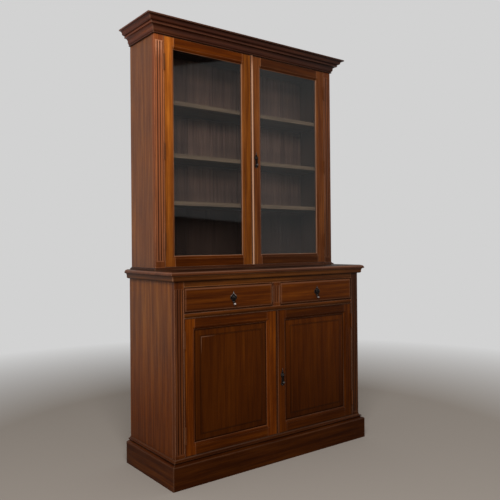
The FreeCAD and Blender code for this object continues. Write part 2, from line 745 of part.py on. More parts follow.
def panelled_door(prefix, meet_x, sight_in, left):
    turn = mirrored if left else (lambda shape: shape)
    face = base_face
    back = face + door_thickness
    x0, x1 = meet_x, base_opening - door_gap
    z0, z1 = base_floor + door_gap, lower_door_top - door_gap
    sx0, sx1 = sight_in, x1 - lower_stile
    sz0, sz1 = z0 + lower_bottom_rail, z1 - lower_top_rail
    groove_front = face + sticking_depth + panel_groove_setback
    groove_back = groove_front + panel_groove_width
    chain = sticking_chain(face) + [(0, groove_front), (panel_groove_depth, groove_front),
                                    (panel_groove_depth, groove_back), (0, groove_back), (0, back + over)]
    ring = box(x0, x1, face, back, z0, z1).cut(panel_shape(sx0, sx1, sz0, sz1, chain))
    members = split_frame(ring, x0, x1, sx0, sx1, sz0, sz1, face, z0, z1)
    if not left:
        members.append(meeting_bead(x0, lower_bead_radius, face, z0, z1))
    keep(prefix + "_door_frame", *[turn(member) for member in members])
    grow = panel_groove_depth - shelf_play
    bevel_top = groove_front - panel_field_rise
    panel_chain = [(-panel_bevel, bevel_top), (-panel_bevel, bevel_top + panel_step),
                   (0, groove_front), (grow, groove_front), (grow, groove_back)]
    keep(prefix + "_panel", turn(panel_shape(sx0, sx1, sz0, sz1, panel_chain)))
    fittings = []
    hang_door(prefix + "_door_frame", fittings, "base_pilaster_" + ("left" if left else "right"),
              base_opening, face, z0, z1, lower_hinge_inset, lower_hinge_count, left)
    return fittings


# ---------------------------------------------------------------- barrel bolts
def bolt_set(x, door_back, z_tip, upward):
    """Barrel bolt on the back of a door.  The tip stands at z_tip, drawn back; the
    guides are listed first and the sliding bolt second."""
    sign = 1 if upward else -1
    axis_y = door_back + bolt_plate_thickness + bolt_guide_size / 2

    def level(distance):
        return z_tip - sign * distance

    def between(a, b):
        return sorted((level(a), level(b)))

    first = bolt_rest_gap + bolt_plate_setback
    z0, z1 = between(first, first + bolt_plate_length)
    plate = box(x - bolt_plate_width / 2, x + bolt_plate_width / 2, door_back,
                door_back + bolt_plate_thickness, z0, z1)
    guides = plate
    for start in (first, first + bolt_plate_length - bolt_guide_length):
        low, high = between(start, start + bolt_guide_length)
        guides = guides.fuse(box(x - bolt_guide_size / 2, x + bolt_guide_size / 2,
                                 door_back + bolt_plate_thickness - slide_clearance,
                                 door_back + bolt_plate_thickness + bolt_guide_size, low, high))
    low, high = between(-over, bolt_length + over)
    guides = guides.removeSplitter().cut(cylinder(bolt_radius + pin_clearance, high - low,
                                                  V(x, axis_y, low), V(0, 0, 1)))
    low, high = between(0, bolt_length)
    rod = cylinder(bolt_radius, high - low, V(x, axis_y, low), V(0, 0, 1))
    knob_at = level(first + bolt_plate_length - bolt_guide_length - bolt_knob_radius - bolt_knob_play)
    knob = cylinder(bolt_knob_radius, bolt_knob_reach, V(x, axis_y, knob_at), V(0, 1, 0))
    return guides, rod.fuse(knob).removeSplitter()


def bolt_hole(x, door_back, surface, upward):
    """Hole in the case that receives a bolt."""
    axis_y = door_back + bolt_plate_thickness + bolt_guide_size / 2
    start = V(x, axis_y, surface - over if upward else surface + over)
    return cylinder(bolt_radius + bolt_hole_play, bolt_hole_depth + over, start,
                    V(0, 0, 1 if upward else -1))


# ---------------------------------------------------------------- cut locks
def lock_set(door, other_door, x_edge, other_edge, door_back, z_middle):
    """Lock let into the back of the right-hand door, its bolt and the mortise for it
    in the left-hand door."""
    z0, z1 = z_middle - lock_height / 2, z_middle + lock_height / 2
    case = box(x_edge, x_edge + lock_width, door_back - lock_depth, door_back, z0, z1)
    y_middle = door_back - lock_depth / 2
    half_y = lock_bolt_thickness / 2
    bolt_z0, bolt_z1 = z_middle - lock_bolt_height / 2, z_middle + lock_bolt_height / 2
    clear = slide_clearance
    channel = box(x_edge - over, x_edge + lock_bolt_rest + lock_bolt_width + clear, y_middle - half_y - clear,
                  y_middle + half_y + clear, bolt_z0 - clear, bolt_z1 + clear)
    bolt = box(x_edge + lock_bolt_rest, x_edge + lock_bolt_rest + lock_bolt_width, y_middle - half_y,
               y_middle + half_y, bolt_z0, bolt_z1)
    cut_from(door, box(x_edge - over, x_edge + lock_width, door_back - lock_depth, door_back + over, z0, z1))
    reach = lock_bolt_travel + mortise_play
    mortise = box(other_edge - reach, other_edge + over, y_middle - half_y - mortise_play,
                  y_middle + half_y + mortise_play, bolt_z0 - mortise_play, bolt_z1 + mortise_play)
    cut_from(other_door, mortise)
    return case.cut(channel), bolt


# ---------------------------------------------------------------- drop handles
def handle_plate(x, face, z_pivot, outline):
    """Flat plate with a round boss and two ears that hold the pin of the drop."""
    front = face - handle_plate_thickness
    edges = path_edges(outline, lambda u, w: V(x + u, front, z_pivot + w))
    plate = face_of(edges).extrude(V(0, handle_plate_thickness, 0))
    boss = cylinder(boss_radius, boss_height + over, V(x, front - boss_height, z_pivot), V(0, 1, 0))
    plate = plate.fuse(boss)
    axis_y = front - drop_proud
    for side in (-1, 1):
        near = side * ear_gap / 2
        far = side * (ear_gap / 2 + ear_thickness)
        x0, x1 = sorted((x + near, x + far))
        ear = box(x0, x1, axis_y, front, z_pivot - ear_radius, z_pivot + ear_radius)
        ear = ear.fuse(cylinder(ear_radius, x1 - x0, V(x0, axis_y, z_pivot), V(1, 0, 0)))
        plate = plate.fuse(ear)
    pin = cylinder(handle_pin_radius, ear_gap + over, V(x - (ear_gap + over) / 2, axis_y, z_pivot),
                   V(1, 0, 0))
    return plate.fuse(pin).removeSplitter()


def drop(x, face, z_pivot, length):
    """Pear-shaped drop: an eye on the pin, a slim neck and a rounded bulb."""
    axis_y = face - handle_plate_thickness - drop_proud
    eye = cylinder(drop_eye_radius, drop_eye_thickness, V(x - drop_eye_thickness / 2, axis_y, z_pivot),
                   V(1, 0, 0))
    outline = scaled(drop_shape, drop_bulb_radius, -length)
    section = face_of(path_edges(outline + [outline[0]], lambda r, z: V(x + r, axis_y, z_pivot + z)))
    body = section.revolve(V(x, axis_y, z_pivot), V(0, 0, 1), 360)
    hole = cylinder(handle_pin_radius + pin_clearance, drop_eye_thickness + 2 * over,
                    V(x - drop_eye_thickness / 2 - over, axis_y, z_pivot), V(1, 0, 0))
    return body.fuse(eye).removeSplitter().cut(hole)


def plate_outline(shape, width, above, below):
    """Closed outline of a plate from the shape of its right half."""
    right = [(point[0] * width / 2, point[1] * (above if point[1] > 0 else below), *point[2:])
             for point in shape]
    left = [(-start[0], start[1], *end[2:]) for start, end in zip(right, right[1:])]
    return right + left[::-1]


def drawer_handle(prefix, x):
    face = base_face + slide_clearance
    z = drawer_floor + drawer_handle_lift
    outline = plate_outline(drawer_plate_shape, drawer_plate_width, drawer_plate_above, drawer_plate_below)
    keep(prefix + "_handle_plate", handle_plate(x, face, z, outline))
    keep(prefix + "_drop", drop(x, face, z, drawer_drop_length))


def door_handle(prefix, x, face, z):
    outline = plate_outline(door_plate_shape, door_plate_width, door_plate_above, door_plate_below)
    keep(prefix + "_handle_plate", handle_plate(x, face, z, outline))
    keep(prefix + "_drop", drop(x, face, z, door_drop_length))


# ---------------------------------------------------------------- drawers
def build_drawer(prefix, left):
    """Moulded front, two sides, a back and a bottom held in grooves."""
    turn = mirrored if left else (lambda shape: shape)
    x0, x1 = mullion_half + door_gap, base_opening - door_gap
    z0, z1 = drawer_floor + door_gap, drawer_top - door_gap
    face = base_face + slide_clearance
    back = face + drawer_front_thickness
    chain = scaled(drawer_edge_shape, drawer_front_ovolo, drawer_front_step, face) + [(0, back)]
    front = panel_shape(x0, x1, z0, z1, chain)
    side_z0 = drawer_floor + slide_clearance
    side_z1 = side_z0 + drawer_side_height
    y1 = back + drawer_length
    bx0, bx1 = mullion_half + drawer_play, base_opening - drawer_play
    bottom_z0 = side_z0 + drawer_bottom_lift
    bottom_z1 = bottom_z0 + drawer_bottom_thickness
    thick = drawer_side_thickness
    bottom = box(bx0 + thick - drawer_groove, bx1 - thick + drawer_groove, back - drawer_groove, y1,
                 bottom_z0, bottom_z1)
    left_side = box(bx0, bx0 + thick, back, y1, side_z0, side_z1).cut(bottom)
    right_side = box(bx1 - thick, bx1, back, y1, side_z0, side_z1).cut(bottom)
    rear = box(bx0 + thick, bx1 - thick, y1 - thick, y1, bottom_z1, side_z1)
    keep(prefix + "_front", turn(front.cut(bottom)))
    keep(prefix + "_box", *[turn(piece) for piece in (left_side, right_side, rear, bottom)])


# ---------------------------------------------------------------- assembly
build_plinth()
build_base_case()
build_drawer_runners()
build_cupboard_shelf()
build_counter()
build_upper_case()
build_cornice()
build_shelves()

upper_left_edge = upper_meeting_offset + door_gap
lower_left_edge = lower_meeting_offset + door_gap
upper_left_fittings = glazed_door("upper_left", upper_left_edge, upper_sight_inner, True)
upper_right_fittings = glazed_door("upper_right", -upper_meeting_offset, upper_sight_inner, False)
lower_left_fittings = panelled_door("lower_left", lower_left_edge, lower_sight_inner, True)
lower_right_fittings = panelled_door("lower_right", -lower_meeting_offset, lower_sight_inner, False)

upper_door_back = upper_face + door_thickness
lower_door_back = base_face + door_thickness
upper_bolt_x = -upper_left_edge - bolt_from_edge
lower_bolt_x = -lower_left_edge - bolt_from_edge
top_guides, top_bolt = bolt_set(upper_bolt_x, upper_door_back, door_stop_level - bolt_rest_gap, True)
foot_guides, foot_bolt = bolt_set(upper_bolt_x, upper_door_back, upper_floor + bolt_rest_gap, False)
low_guides, low_bolt = bolt_set(lower_bolt_x, lower_door_back, base_floor + bolt_rest_gap, False)
keep("upper_left_top_bolt", top_bolt)
keep("upper_left_bottom_bolt", foot_bolt)
keep("lower_left_bolt", low_bolt)
cut_from("upper_top", bolt_hole(upper_bolt_x, upper_door_back, door_stop_level, True))
cut_from("upper_bottom", bolt_hole(upper_bolt_x, upper_door_back, upper_floor, False))
cut_from("base_bottom", bolt_hole(lower_bolt_x, lower_door_back, base_floor, False))

upper_lock, upper_lock_bolt = lock_set("upper_right_door_frame", "upper_left_door_frame",
                                       -upper_meeting_offset, -upper_left_edge, upper_door_back,
                                       upper_handle_height)
lower_lock, lower_lock_bolt = lock_set("lower_right_door_frame", "lower_left_door_frame",
                                       -lower_meeting_offset, -lower_left_edge, lower_door_back,
                                       lower_handle_height)
keep("upper_right_lock_bolt", upper_lock_bolt)
keep("lower_right_lock_bolt", lower_lock_bolt)

keep("case_hinge_leaves", *case_hinge_leaves)
keep("upper_left_brassware", *upper_left_fittings, top_guides, foot_guides)
keep("upper_right_brassware", *upper_right_fittings, upper_lock)
keep("lower_left_brassware", *lower_left_fittings, low_guides)
keep("lower_right_brassware", *lower_right_fittings, lower_lock)

build_drawer("left_drawer", True)
build_drawer("right_drawer", False)
drawer_middle = (mullion_half + base_opening) / 2
drawer_handle("left_drawer", left_drawer_handle_shift - drawer_middle)
drawer_handle("right_drawer", drawer_middle - right_drawer_handle_shift)
upper_bead_edge = -upper_meeting_offset + 2 * upper_bead_radius
lower_bead_edge = -lower_meeting_offset + 2 * lower_bead_radius
door_handle("upper_right", upper_bead_edge + upper_handle_from_bead, upper_face, upper_handle_height)
door_handle("lower_right", lower_bead_edge + lower_handle_from_bead, base_face, lower_handle_height)

for name, solids in pieces.items():
    shape = solids[0] if len(solids) == 1 else Part.makeCompound(solids)
    shape.exportStep("parts/" + name + ".step")
    print(name, len(solids), "solids", round(shape.Volume / 1000), "cm3", shape.isValid())
print(len(pieces), "sub-parts")
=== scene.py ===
"""Dresses a tall glazed bookcase: woods, old glass, drop handles, brass and a studio."""
import math

import bmesh
import bpy
import mathutils
import numpy as np
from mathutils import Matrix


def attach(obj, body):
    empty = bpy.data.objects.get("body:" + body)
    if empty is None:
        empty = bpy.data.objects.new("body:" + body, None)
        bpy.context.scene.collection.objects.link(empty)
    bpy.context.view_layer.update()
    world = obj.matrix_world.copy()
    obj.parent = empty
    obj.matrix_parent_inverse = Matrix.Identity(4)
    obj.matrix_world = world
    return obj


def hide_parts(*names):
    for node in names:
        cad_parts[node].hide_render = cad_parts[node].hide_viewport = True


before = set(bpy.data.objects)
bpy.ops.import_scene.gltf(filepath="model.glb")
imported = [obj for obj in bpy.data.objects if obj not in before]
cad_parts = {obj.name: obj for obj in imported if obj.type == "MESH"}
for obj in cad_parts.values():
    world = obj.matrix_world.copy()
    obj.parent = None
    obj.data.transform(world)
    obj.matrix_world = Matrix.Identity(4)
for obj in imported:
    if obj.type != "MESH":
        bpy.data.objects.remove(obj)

bl_info = {
    "name": "Glazed Bookcase Dresser",
    "version": (1, 0, 0),
    "blender": (4, 5, 0),
    "location": "View3D > Sidebar > Bookcase",
    "description": "Finishes the woods, glass and fittings of a glazed bookcase, with a studio",
    "category": "Object",
}

MM = 0.001

# Places on the bookcase in metres: X from its middle, Y backwards, Z up from the floor.
BASE_HALF, BASE_FACE, BASE_INNER = 0.615, -0.215, 0.593
UPPER_HALF, UPPER_FACE, UPPER_INNER = 0.6025, -0.017, 0.5825
# Rectangles on the front: inner and outer X, foot and head.
UPPER_SIGHT = (0.064, 0.491, 1.0745, 2.114)
LOWER_SIGHT = (0.065, 0.5035, 0.1935, 0.7275)
DRAWER_FRONT = (0.0265, 0.5605, 0.8075, 0.9285)
# Outer X, foot and head of a door. The inner X differs within a pair; NO_EDGE draws no line there.
UPPER_DOOR_EDGES = (0.548, 1.0195, 2.1715)
LOWER_DOOR_EDGES = (0.5605, 0.1365, 0.7825)
NO_EDGE = -0.1
# Joints under the counter's moulding, under the counter and on top of it, and the counter's nose.
COUNTER_JOINTS = (0.958, 0.985, 1.005)
COUNTER_NOSE = 0.9995
SHELF_UNDERSIDES = (1.568, 1.836, 2.160)
# The back boards: how wide the first and the others are, and how far back they are stained.
FIRST_BOARD, BACK_BOARD = 0.150, 0.170
STAIN_ENDS = 0.239


def paint(red, green, blue):
    """A colour as read from a paint chart, 0 to 255, as linear light."""
    shares = np.array([red, green, blue]) / 255.0
    light = np.where(shares <= 0.04045, shares / 12.92, ((shares + 0.055) / 1.055) ** 2.4)
    return tuple(float(value) for value in light)


# ---- what a user may change
def colour(name, description, *chart, light=None):
    """A colour, read from a paint chart or given as linear light."""
    return bpy.props.FloatVectorProperty(
        name=name, description=description, subtype="COLOR", size=3, min=0.0, max=1.0,
        default=light or paint(*chart))


def amount(name, description, default, **kind):
    return bpy.props.FloatProperty(name=name, description=description, default=default, **kind)


def length(name, description, default):
    return amount(name, description, default,
                  unit="LENGTH", subtype="DISTANCE", min=0.0, precision=4)


def share(name, description, default, top=1.0):
    return amount(name, description, default, subtype="FACTOR", min=0.0, max=top)


class BookcaseWoods(bpy.types.PropertyGroup):
    """Colours and wear of the woodwork."""
    side: colour("Upper sides", "Polished side boards of the glazed case", 122, 68, 32)
    base_side: colour("Base sides", "Polished side boards of the base", 124, 69, 29)
    upper_pilaster: colour("Upper pilasters", "Reeded uprights of the glazed case", 132, 68, 32)
    base_pilaster: colour("Base pilasters", "Reeded uprights of the base", 80, 36, 9)
    # Painted light and shade: the left glazed door has the lighter tone, the right one the darker
    # tone.
    lit_door: colour("Left glazed door", "Frame of the sunnier glazed door", 114, 60, 17)
    shaded_door: colour("Right glazed door", "Frame of the darker glazed door", 96, 50, 21)
    cornice: colour("Cornice", "Mouldings at the top", 66, 30, 15)
    counter: colour("Counter", "Edge of the base's top and the mouldings beside it", 75, 35, 12)
    plinth: colour("Plinth", "Boards and moulding at the foot", 53, 22, 4)
    drawer: colour("Drawer fronts", "Fronts of the two drawers", 80, 36, 6)
    rail: colour("Rails", "Rails of the base above and below the drawers", 84, 43, 12)
    cupboard_door: colour("Cupboard doors", "Stiles and rails of the lower doors", 90, 40, 5)
    panel: colour("Panels", "Fielded panels of the lower doors", 66, 28, 3)
    stain: colour("Inside stain", "Dull dark stain on the back boards", 52, 38, 33)
    # Painted light: the shelf tone is that of the lit front edges; further back the shelves are
    # painted darker.
    shelf: colour("Shelves", "Stained shelves, worn paler at the front", 109, 90, 74)
    deal: colour("Bare deal", "Unpolished softwood at the back and in the drawers", 150, 112, 72)
    # The bare wood colour and the wear share also give painted highlights: on arrises, bead crests,
    # reed stops and the counter's nose.
    worn: colour("Bare wood", "Wood where the polish is rubbed away", 194, 154, 126)
    wear: share("Wear", "How far the polish is rubbed through on the arrises", 0.7)
    # The grime share darkens corners with painted shade as well as old wax.
    grime_and_shade: share("Grime", "How much old wax has darkened the corners", 0.6)
    ribbon: length("Ribbon width", "Width of the broad stripes of the figure", 0.022)


class BookcaseFittings(bpy.types.PropertyGroup):
    """Sizes and colours of the glass, handles and brass."""
    glass_tint: colour("Glass tint", "Colour of the light that comes through one face of a pane",
                       light=(0.90, 0.91, 0.90))
    glass_sheen: share("Glass sheen", "Share of the mirror image that a pane shows", 0.16)
    # Painted reflection: the dust film also stands for the pale veil of the room's mirror image on
    # the panes.
    dust: share("Dust", "How much the film of dust on a pane hides", 0.018)
    dust_tint: colour("Dust colour", "Colour of the film of dust", light=(0.74, 0.76, 0.76))
    iron: colour("Iron", "Blackened iron of the drop handles", 13, 9, 7)
    # The worn iron colour is also a painted highlight on the drop bulbs and the plates' upper rims.
    iron_worn: colour("Worn iron", "Bright metal where the black is rubbed away", 226, 214, 208)
    brass: colour("Brass", "Hinges, bolts and locks", 112, 66, 32)
    brass_tarnish: colour("Tarnish", "Brown skin on old brass", 84, 45, 20)
    rim_width: length("Rim width", "Width of the raised rim of a handle plate", 0.0014)
    field_drop: length("Field drop", "Depth of the field of a plate below its rim", 0.0007)
    stud_radius: length("Stud radius", "Radius of the pins that hold a handle plate", 0.0016)


class BookcaseStudio(bpy.types.PropertyGroup):
    """The floor, the lamps and the camera."""
    floor: colour("Floor", "Colour of the plain floor", 164, 155, 146)
    backdrop: colour("Backdrop", "Colour behind the object", 210, 210, 210)
    key: share("Key light", "What the large lamp at the left gives a facing board", 0.95, 3.0)
    fill: share("Fill light", "What the lamp at the right gives a facing board", 0.08, 3.0)
    sky: share("Room light", "Light that comes evenly from all sides", 0.30, 3.0)
    eye: bpy.props.FloatVectorProperty(
        name="Camera place", description="Where the camera stands", subtype="TRANSLATION",
        unit="LENGTH", size=3, default=(-2.0017, -2.6252, 1.127))
    turn: amount("Camera turn", "How far the camera looks to the right of straight back", 0.6495,
                 subtype="ANGLE")
    tilt: amount("Camera tilt", "How far the camera looks up", 0.0053, subtype="ANGLE")
    roll: amount("Camera roll", "How far the camera leans", -0.0088, subtype="ANGLE")
    focal: amount("Focal length", "Focal length in millimetres on a 36 mm frame", 42.945, min=10.0)
    rise: amount("Lens rise", "Shift of the picture, as a share of its width", -0.0166)


# ---- materials: sums and nodes
def _sum(operation, swapped=False):
    """A method that joins a level and another value in one Math node."""
    def method(self, other):
        return self.recipe.maths(operation, *((other, self) if swapped else (self, other)))
    return method


class Level:
    """A number that may vary over a surface. Sums on it are written as on plain numbers."""

    def __init__(self, recipe, socket):
        self.recipe = recipe
        self.socket = socket

    __add__ = __radd__ = _sum("ADD")
    __sub__, __rsub__ = _sum("SUBTRACT"), _sum("SUBTRACT", swapped=True)
    __mul__ = __rmul__ = _sum("MULTIPLY")
    __truediv__, __rtruediv__ = _sum("DIVIDE"), _sum("DIVIDE", swapped=True)
    __gt__, __lt__ = _sum("GREATER_THAN"), _sum("LESS_THAN")
    power, least, most = _sum("POWER"), _sum("MINIMUM"), _sum("MAXIMUM")

    def __abs__(self):
        return self.recipe.maths("ABSOLUTE", self)

    def floor(self):
        return self.recipe.maths("FLOOR", self)

    def between(self, low, high):
        """0 at low, 1 at high, straight between and held outside."""
        return self.recipe.level("ShaderNodeMapRange", {"clamp": True},
                                 {"Value": self, "From Min": low, "From Max": high})

    def near(self, line, core, reach):
        """1 up to core away from a line, 0 from reach away."""
        return 1.0 - abs(self - line).between(core, reach)


class Recipe:
    """A material or world, and the one method that adds nodes to it."""

    def __init__(self, owner):
        owner.use_nodes = True
        self.owner = owner
        self.tree = owner.node_tree
        self.tree.nodes.clear()

    def node(self, kind, settings=None, sockets=None):
        """Adds a node: its settings first, then the values or links of its sockets."""
        node = self.tree.nodes.new(kind)
        for name, value in (settings or {}).items():
            if name == "stops":
                ramp = node.color_ramp.elements
                while len(ramp) < len(value):
                    ramp.new(1.0)
                for stop, (place, shade) in zip(ramp, value):
                    stop.position = place
                    stop.color = (*shade, 1.0)
            else:
                setattr(node, name, value)
        for name, value in (sockets or {}).items():
            source = value.socket if isinstance(value, Level) else value
            if isinstance(source, bpy.types.NodeSocket):
                self.tree.links.new(source, node.inputs[name])
            elif node.inputs[name].type == "RGBA":
                node.inputs[name].default_value = (*source, 1.0)
            else:
                node.inputs[name].default_value = source
        return node

    def level(self, kind, settings=None, sockets=None, output=0):
        """Adds a node and gives one of its outputs as a level."""
        return Level(self, self.node(kind, settings, sockets).outputs[output])

    def maths(self, operation, *terms):
        return self.level("ShaderNodeMath", {"operation": operation}, dict(enumerate(terms)))

    def place(self):
        """The three Object coordinates of the point."""
        point = self.node("ShaderNodeTexCoord").outputs["Object"]
        split = self.node("ShaderNodeSeparateXYZ", None, {0: point})
        return tuple(Level(self, output) for output in split.outputs)

    def noise(self, u, v, w, detail=2.0, rough=0.5):
        """Cloudy values about 0.5 in the space of three stretched coordinates."""
        vector = self.node("ShaderNodeCombineXYZ", None, {0: u, 1: v, 2: w}).outputs[0]
        return self.level("ShaderNodeTexNoise", None, {
            "Vector": vector, "Scale": 1.0, "Detail": detail, "Roughness": rough})

    def clouds(self, scale, detail=3.0, rough=0.6, shift=0.0):
        """Noise that is equally fine in all directions."""
        x, y, z = self.place()
        return self.noise(x * scale + shift, y * scale, z * scale, detail, rough)

    def chance(self, number):
        """An even random value for each whole number."""
        return self.level("ShaderNodeTexWhiteNoise", {"noise_dimensions": "1D"}, {"W": number})

    def blend(self, factor, first, second, how="MIX"):
        """Two colours mixed."""
        return self.node("ShaderNodeMix", {"data_type": "RGBA", "blend_type": how},
                         {0: factor, 6: first, 7: second}).outputs[2]

    def ramp(self, factor, stops):
        """The colour at a place between stops, each a place and a colour."""
        return self.node("ShaderNodeValToRGB", {"stops": stops}, {0: factor}).outputs[0]

    def nearness(self, reach, inside):
        """0 in the open and up to 1 where another surface, or with inside another face of the
        piece, is near."""
        return 1.0 - self.level(
            "ShaderNodeAmbientOcclusion", {"samples": 6, "inside": inside, "only_local": inside},
            {"Distance": reach}, "AO")

    def bump(self, height, distance, strength):
        """Small dents, for a surface's Normal."""
        return self.node("ShaderNodeBump", None, {
            "Height": height, "Distance": distance, "Strength": strength}).outputs[0]

    def surface(self, kind, **sockets):
        """Adds a surface or light; sockets are named with underscores for spaces."""
        named = {name.replace("_", " "): value for name, value in sockets.items()}
        return self.node(kind, None, named).outputs[0]

    def layer(self, cover, under, over):
        """One surface over another, which it hides by the share cover."""
        return self.node("ShaderNodeMixShader", None, {0: cover, 1: under, 2: over}).outputs[0]

    def finish(self, shader, output="ShaderNodeOutputMaterial"):
        """Links the whole to the output and gives the finished material or world."""
        self.node(output, None, {"Surface": shader})
        return self.owner


def material_recipe(name):
    return Recipe(bpy.data.materials.new(name))


def seen_rays(recipe):
    """1 for what the camera, a mirror image or a pane shows, 0 for light that falls on things."""
    path = recipe.node("ShaderNodeLightPath")
    camera, glossy, through = (Level(recipe, path.outputs[f"Is {kind} Ray"])
                               for kind in ("Camera", "Glossy", "Transmission"))
    return camera.most(glossy).most(through)


def tinted(shade, factor, golden=0.0):
    """A colour made lighter or darker, and more golden, or redder where golden is negative."""
    red, green, blue = shade
    return tuple(min(1.0, value)
                 for value in (red * factor, green * factor * (1 + golden), blue * factor))


def dress(material, *nodes):
    """Gives a material to frame nodes, in every slot."""
    for name in nodes:
        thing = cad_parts[name]
        if not thing.material_slots:
            thing.data.materials.append(material)
        for slot in thing.material_slots:
            slot.material = material


# ---- regions of a surface, as masks of 1 inside and 0 outside
def choose(mask, first, second):
    """first where mask is 1, second where it is 0."""
    return second + (first - second) * mask


def on_rail(x, sight):
    """A door's rails and what lies between them, without the stiles."""
    return (abs(x) > sight[0]) * (abs(x) < sight[1])


def on_return(x, y, half, face):
    """The part of a moulding that has turned the corner, past its mitre."""
    return (abs(x) - half) > (face - y)


def from_edges(x, z, edges):
    """Distance inwards from the nearest edge of a rectangle on the front."""
    x_low, x_high, z_low, z_high = edges
    out = abs(x)
    return (out - x_low).least(x_high - out).least((z - z_low).least(z_high - z))


# ---- how the boards lie
# Each gives the coordinate along the grain, the two across it, and the number of the board.
def standing(x, y, z):
    return z, x, y, 0.0


def lying(x, y, z):
    return x, z, y, 0.0


def running_back(x, y, z):
    return y, x, z, x > 0.0


def framed(sight, middle):
    """Door frame: stiles stand at both sides of the rails, which lie between them."""
    def lay(x, y, z):
        rail = on_rail(x, sight)
        board = choose(rail, 2.0 + (z > middle), abs(x) > sight[0])
        return choose(rail, x, z), choose(rail, z, x), y, board
    return lay


def wrapped(half, face):
    """Moulding that runs along the front and, past a mitre, back along both sides."""
    def lay(x, y, z):
        side = on_return(x, y, half, face)
        return choose(side, y, x), choose(side, x, y), z, side * (1.0 + (x > 0.0))
    return lay


def staved(half):
    """Upright back boards side by side, the first and last of another width."""
    def lay(x, y, z):
        return z, x, y, ((x + (half - FIRST_BOARD)) / BACK_BOARD).floor()
    return lay


def drawer_boards(inner, outer):
    """Drawer box: the sides run back, the bottom and back run across."""
    def lay(x, y, z):
        out = abs(x)
        side = (out < inner).most(out > outer)
        return choose(side, y, x), choose(side, x, y), z, side * (1.0 + (out > outer))
    return lay


# ---- finishes
def grain(recipe, lay, seed, ribbon):
    """The figure of one board: broad ribbons, narrow streaks, fibres and pores, all stretched
    along the grain. Each is a noise whose coordinate along the board is slowed 20 to 40 times; a
    slow sway bends the ribbons."""
    along, across, depth, board = lay(*recipe.place())
    lot = recipe.chance(board * 1.37 + seed)
    far = lot * 9.0 + seed
    sway = recipe.noise(across * 2.0 + far, depth * 2.0, along * 1.1) - 0.5
    across = across + sway * (0.9 * ribbon)
    wide = 1.0 / ribbon
    ribbons = recipe.noise(across * wide + far, depth * wide, along * (wide * 0.045), 2.0, 0.55)
    streaks = recipe.noise(across * 170.0 + far, depth * 170.0, along * 5.0, 3.0, 0.6)
    fibres = recipe.noise(across * 900.0, depth * 900.0, along * 30.0 + far, 2.0, 0.6)
    pores = recipe.noise(across * 2100.0, depth * 2100.0, along * 90.0 + far, 0.0)
    return lot, ribbons, streaks, fibres, pores.between(0.66, 0.76), recipe.clouds(
        3.1, 3.0, 0.55, far)


def polish(woods, name, tone, lay, seed, *nodes, contrast=0.6, gloss=0.10, wax_and_shade=None, bared_and_lit=None,
           painted_light=None, reddened=None, stained=None, wax_and_shade_reach=0.022, arris=1.0,
           shine=(1.0, 0.68, 0.42)):
    """French-polished mahogany for nodes, or for the node called name. The figure picks a place
    between a deep, the middle and a light tone of the wood; corners near other surfaces get old
    wax and painted shade, and arrises a lighter, drier wood that is wear and a painted highlight.
    From a point's coordinates, wax_and_shade gives more of that darkening there, bared_and_lit
    more of the lighter wood (bare wood above 1), painted_light a tone painted lighter or darker
    for light and shade, reddened a redder polish, and stained the dull inside stain in place of
    polish."""
    recipe = material_recipe(f"{name.replace('_', ' ')} wood")
    lot, ribbons, streaks, fibres, pores, clouds = grain(recipe, lay, seed, woods.ribbon)
    x, y, z = recipe.place()
    figure = 0.5 + contrast * (
        (ribbons - 0.5) * 1.7 + (streaks - 0.5) * 1.25 + (fibres - 0.5) * 0.55)
    body = recipe.ramp(figure, [
        (0.10, tinted(tone, 0.38, -0.18)), (0.42, tinted(tone, 0.80, -0.05)),
        (0.62, tinted(tone, 1.20, 0.06)), (0.95, tinted(tone, 2.0, 0.20))])
    level = (0.90 + lot * 0.20) * (0.70 + clouds * 0.60) * (1.0 - pores * 0.30)
    # Painted light and shade: the tone is made lighter or darker by place.
    if painted_light is not None:
        level = level * painted_light(x, y, z)
    body = recipe.blend(1.0, body, level, "MULTIPLY")
    if reddened is not None:
        body = recipe.blend(reddened(x, y, z), body, (1.0, 0.72, 0.32), "MULTIPLY")
    # Painted shade with old wax: corners near other surfaces go dark, more where the point's
    # darkening function says.
    corners = recipe.nearness(wax_and_shade_reach, False).between(0.22, 0.80)
    if wax_and_shade is not None:
        corners = corners.most(wax_and_shade(x, y, z))
    body = recipe.blend(corners * (1.5 * woods.grime_and_shade), body, tinted(tone, 0.12, -0.2))
    patches = (clouds * 0.7 + streaks * 0.5).between(0.42, 0.70)
    # Wear and painted highlight: arrises, and places the point's lightening function gives, turn to
    # a lighter, drier wood, above 1 to bare wood.
    rubbed = recipe.nearness(0.0045, True).between(0.26, 0.50)
    rubbed = rubbed * (0.30 + patches * 0.70) * arris
    if bared_and_lit is not None:
        rub_and_highlight = bared_and_lit(x, y, z)
        rubbed = rubbed.most(rub_and_highlight * (0.6 + streaks * 0.8).least(1.0))
    rubbed = rubbed * woods.wear
    worn_and_lit_tone = tuple(1.3 * here + 0.36 * bare for here, bare in zip(tone, woods.worn))
    body = recipe.blend(rubbed, body, worn_and_lit_tone)
    if bared_and_lit is not None:
        body = recipe.blend((rub_and_highlight - 1.0).between(0.0, 1.0) * 0.6, body, woods.worn)
    roughness = (0.34 + (clouds - 0.5) * 0.22 + (fibres - 0.5) * 0.10
                 + corners * 0.16 + rubbed * 0.12)
    if stained is not None:
        dull = stained(x, y, z)
        body = recipe.blend(dull, body, recipe.ramp(figure, [
            (0.1, tinted(woods.stain, 0.5)), (0.5, woods.stain), (0.9, tinted(woods.stain, 1.4))]))
        roughness = roughness + dull * 0.3
    dent = (fibres - 0.5) * 0.5 + (streaks - 0.5) * 0.35 - pores * 0.8
    dress(recipe.finish(recipe.surface(
        "ShaderNodeBsdfPrincipled", Base_Color=body, Roughness=roughness, Specular_IOR_Level=gloss,
        Specular_Tint=shine, Normal=recipe.bump(dent, 0.0005, 0.35))), *(nodes or (name,)))


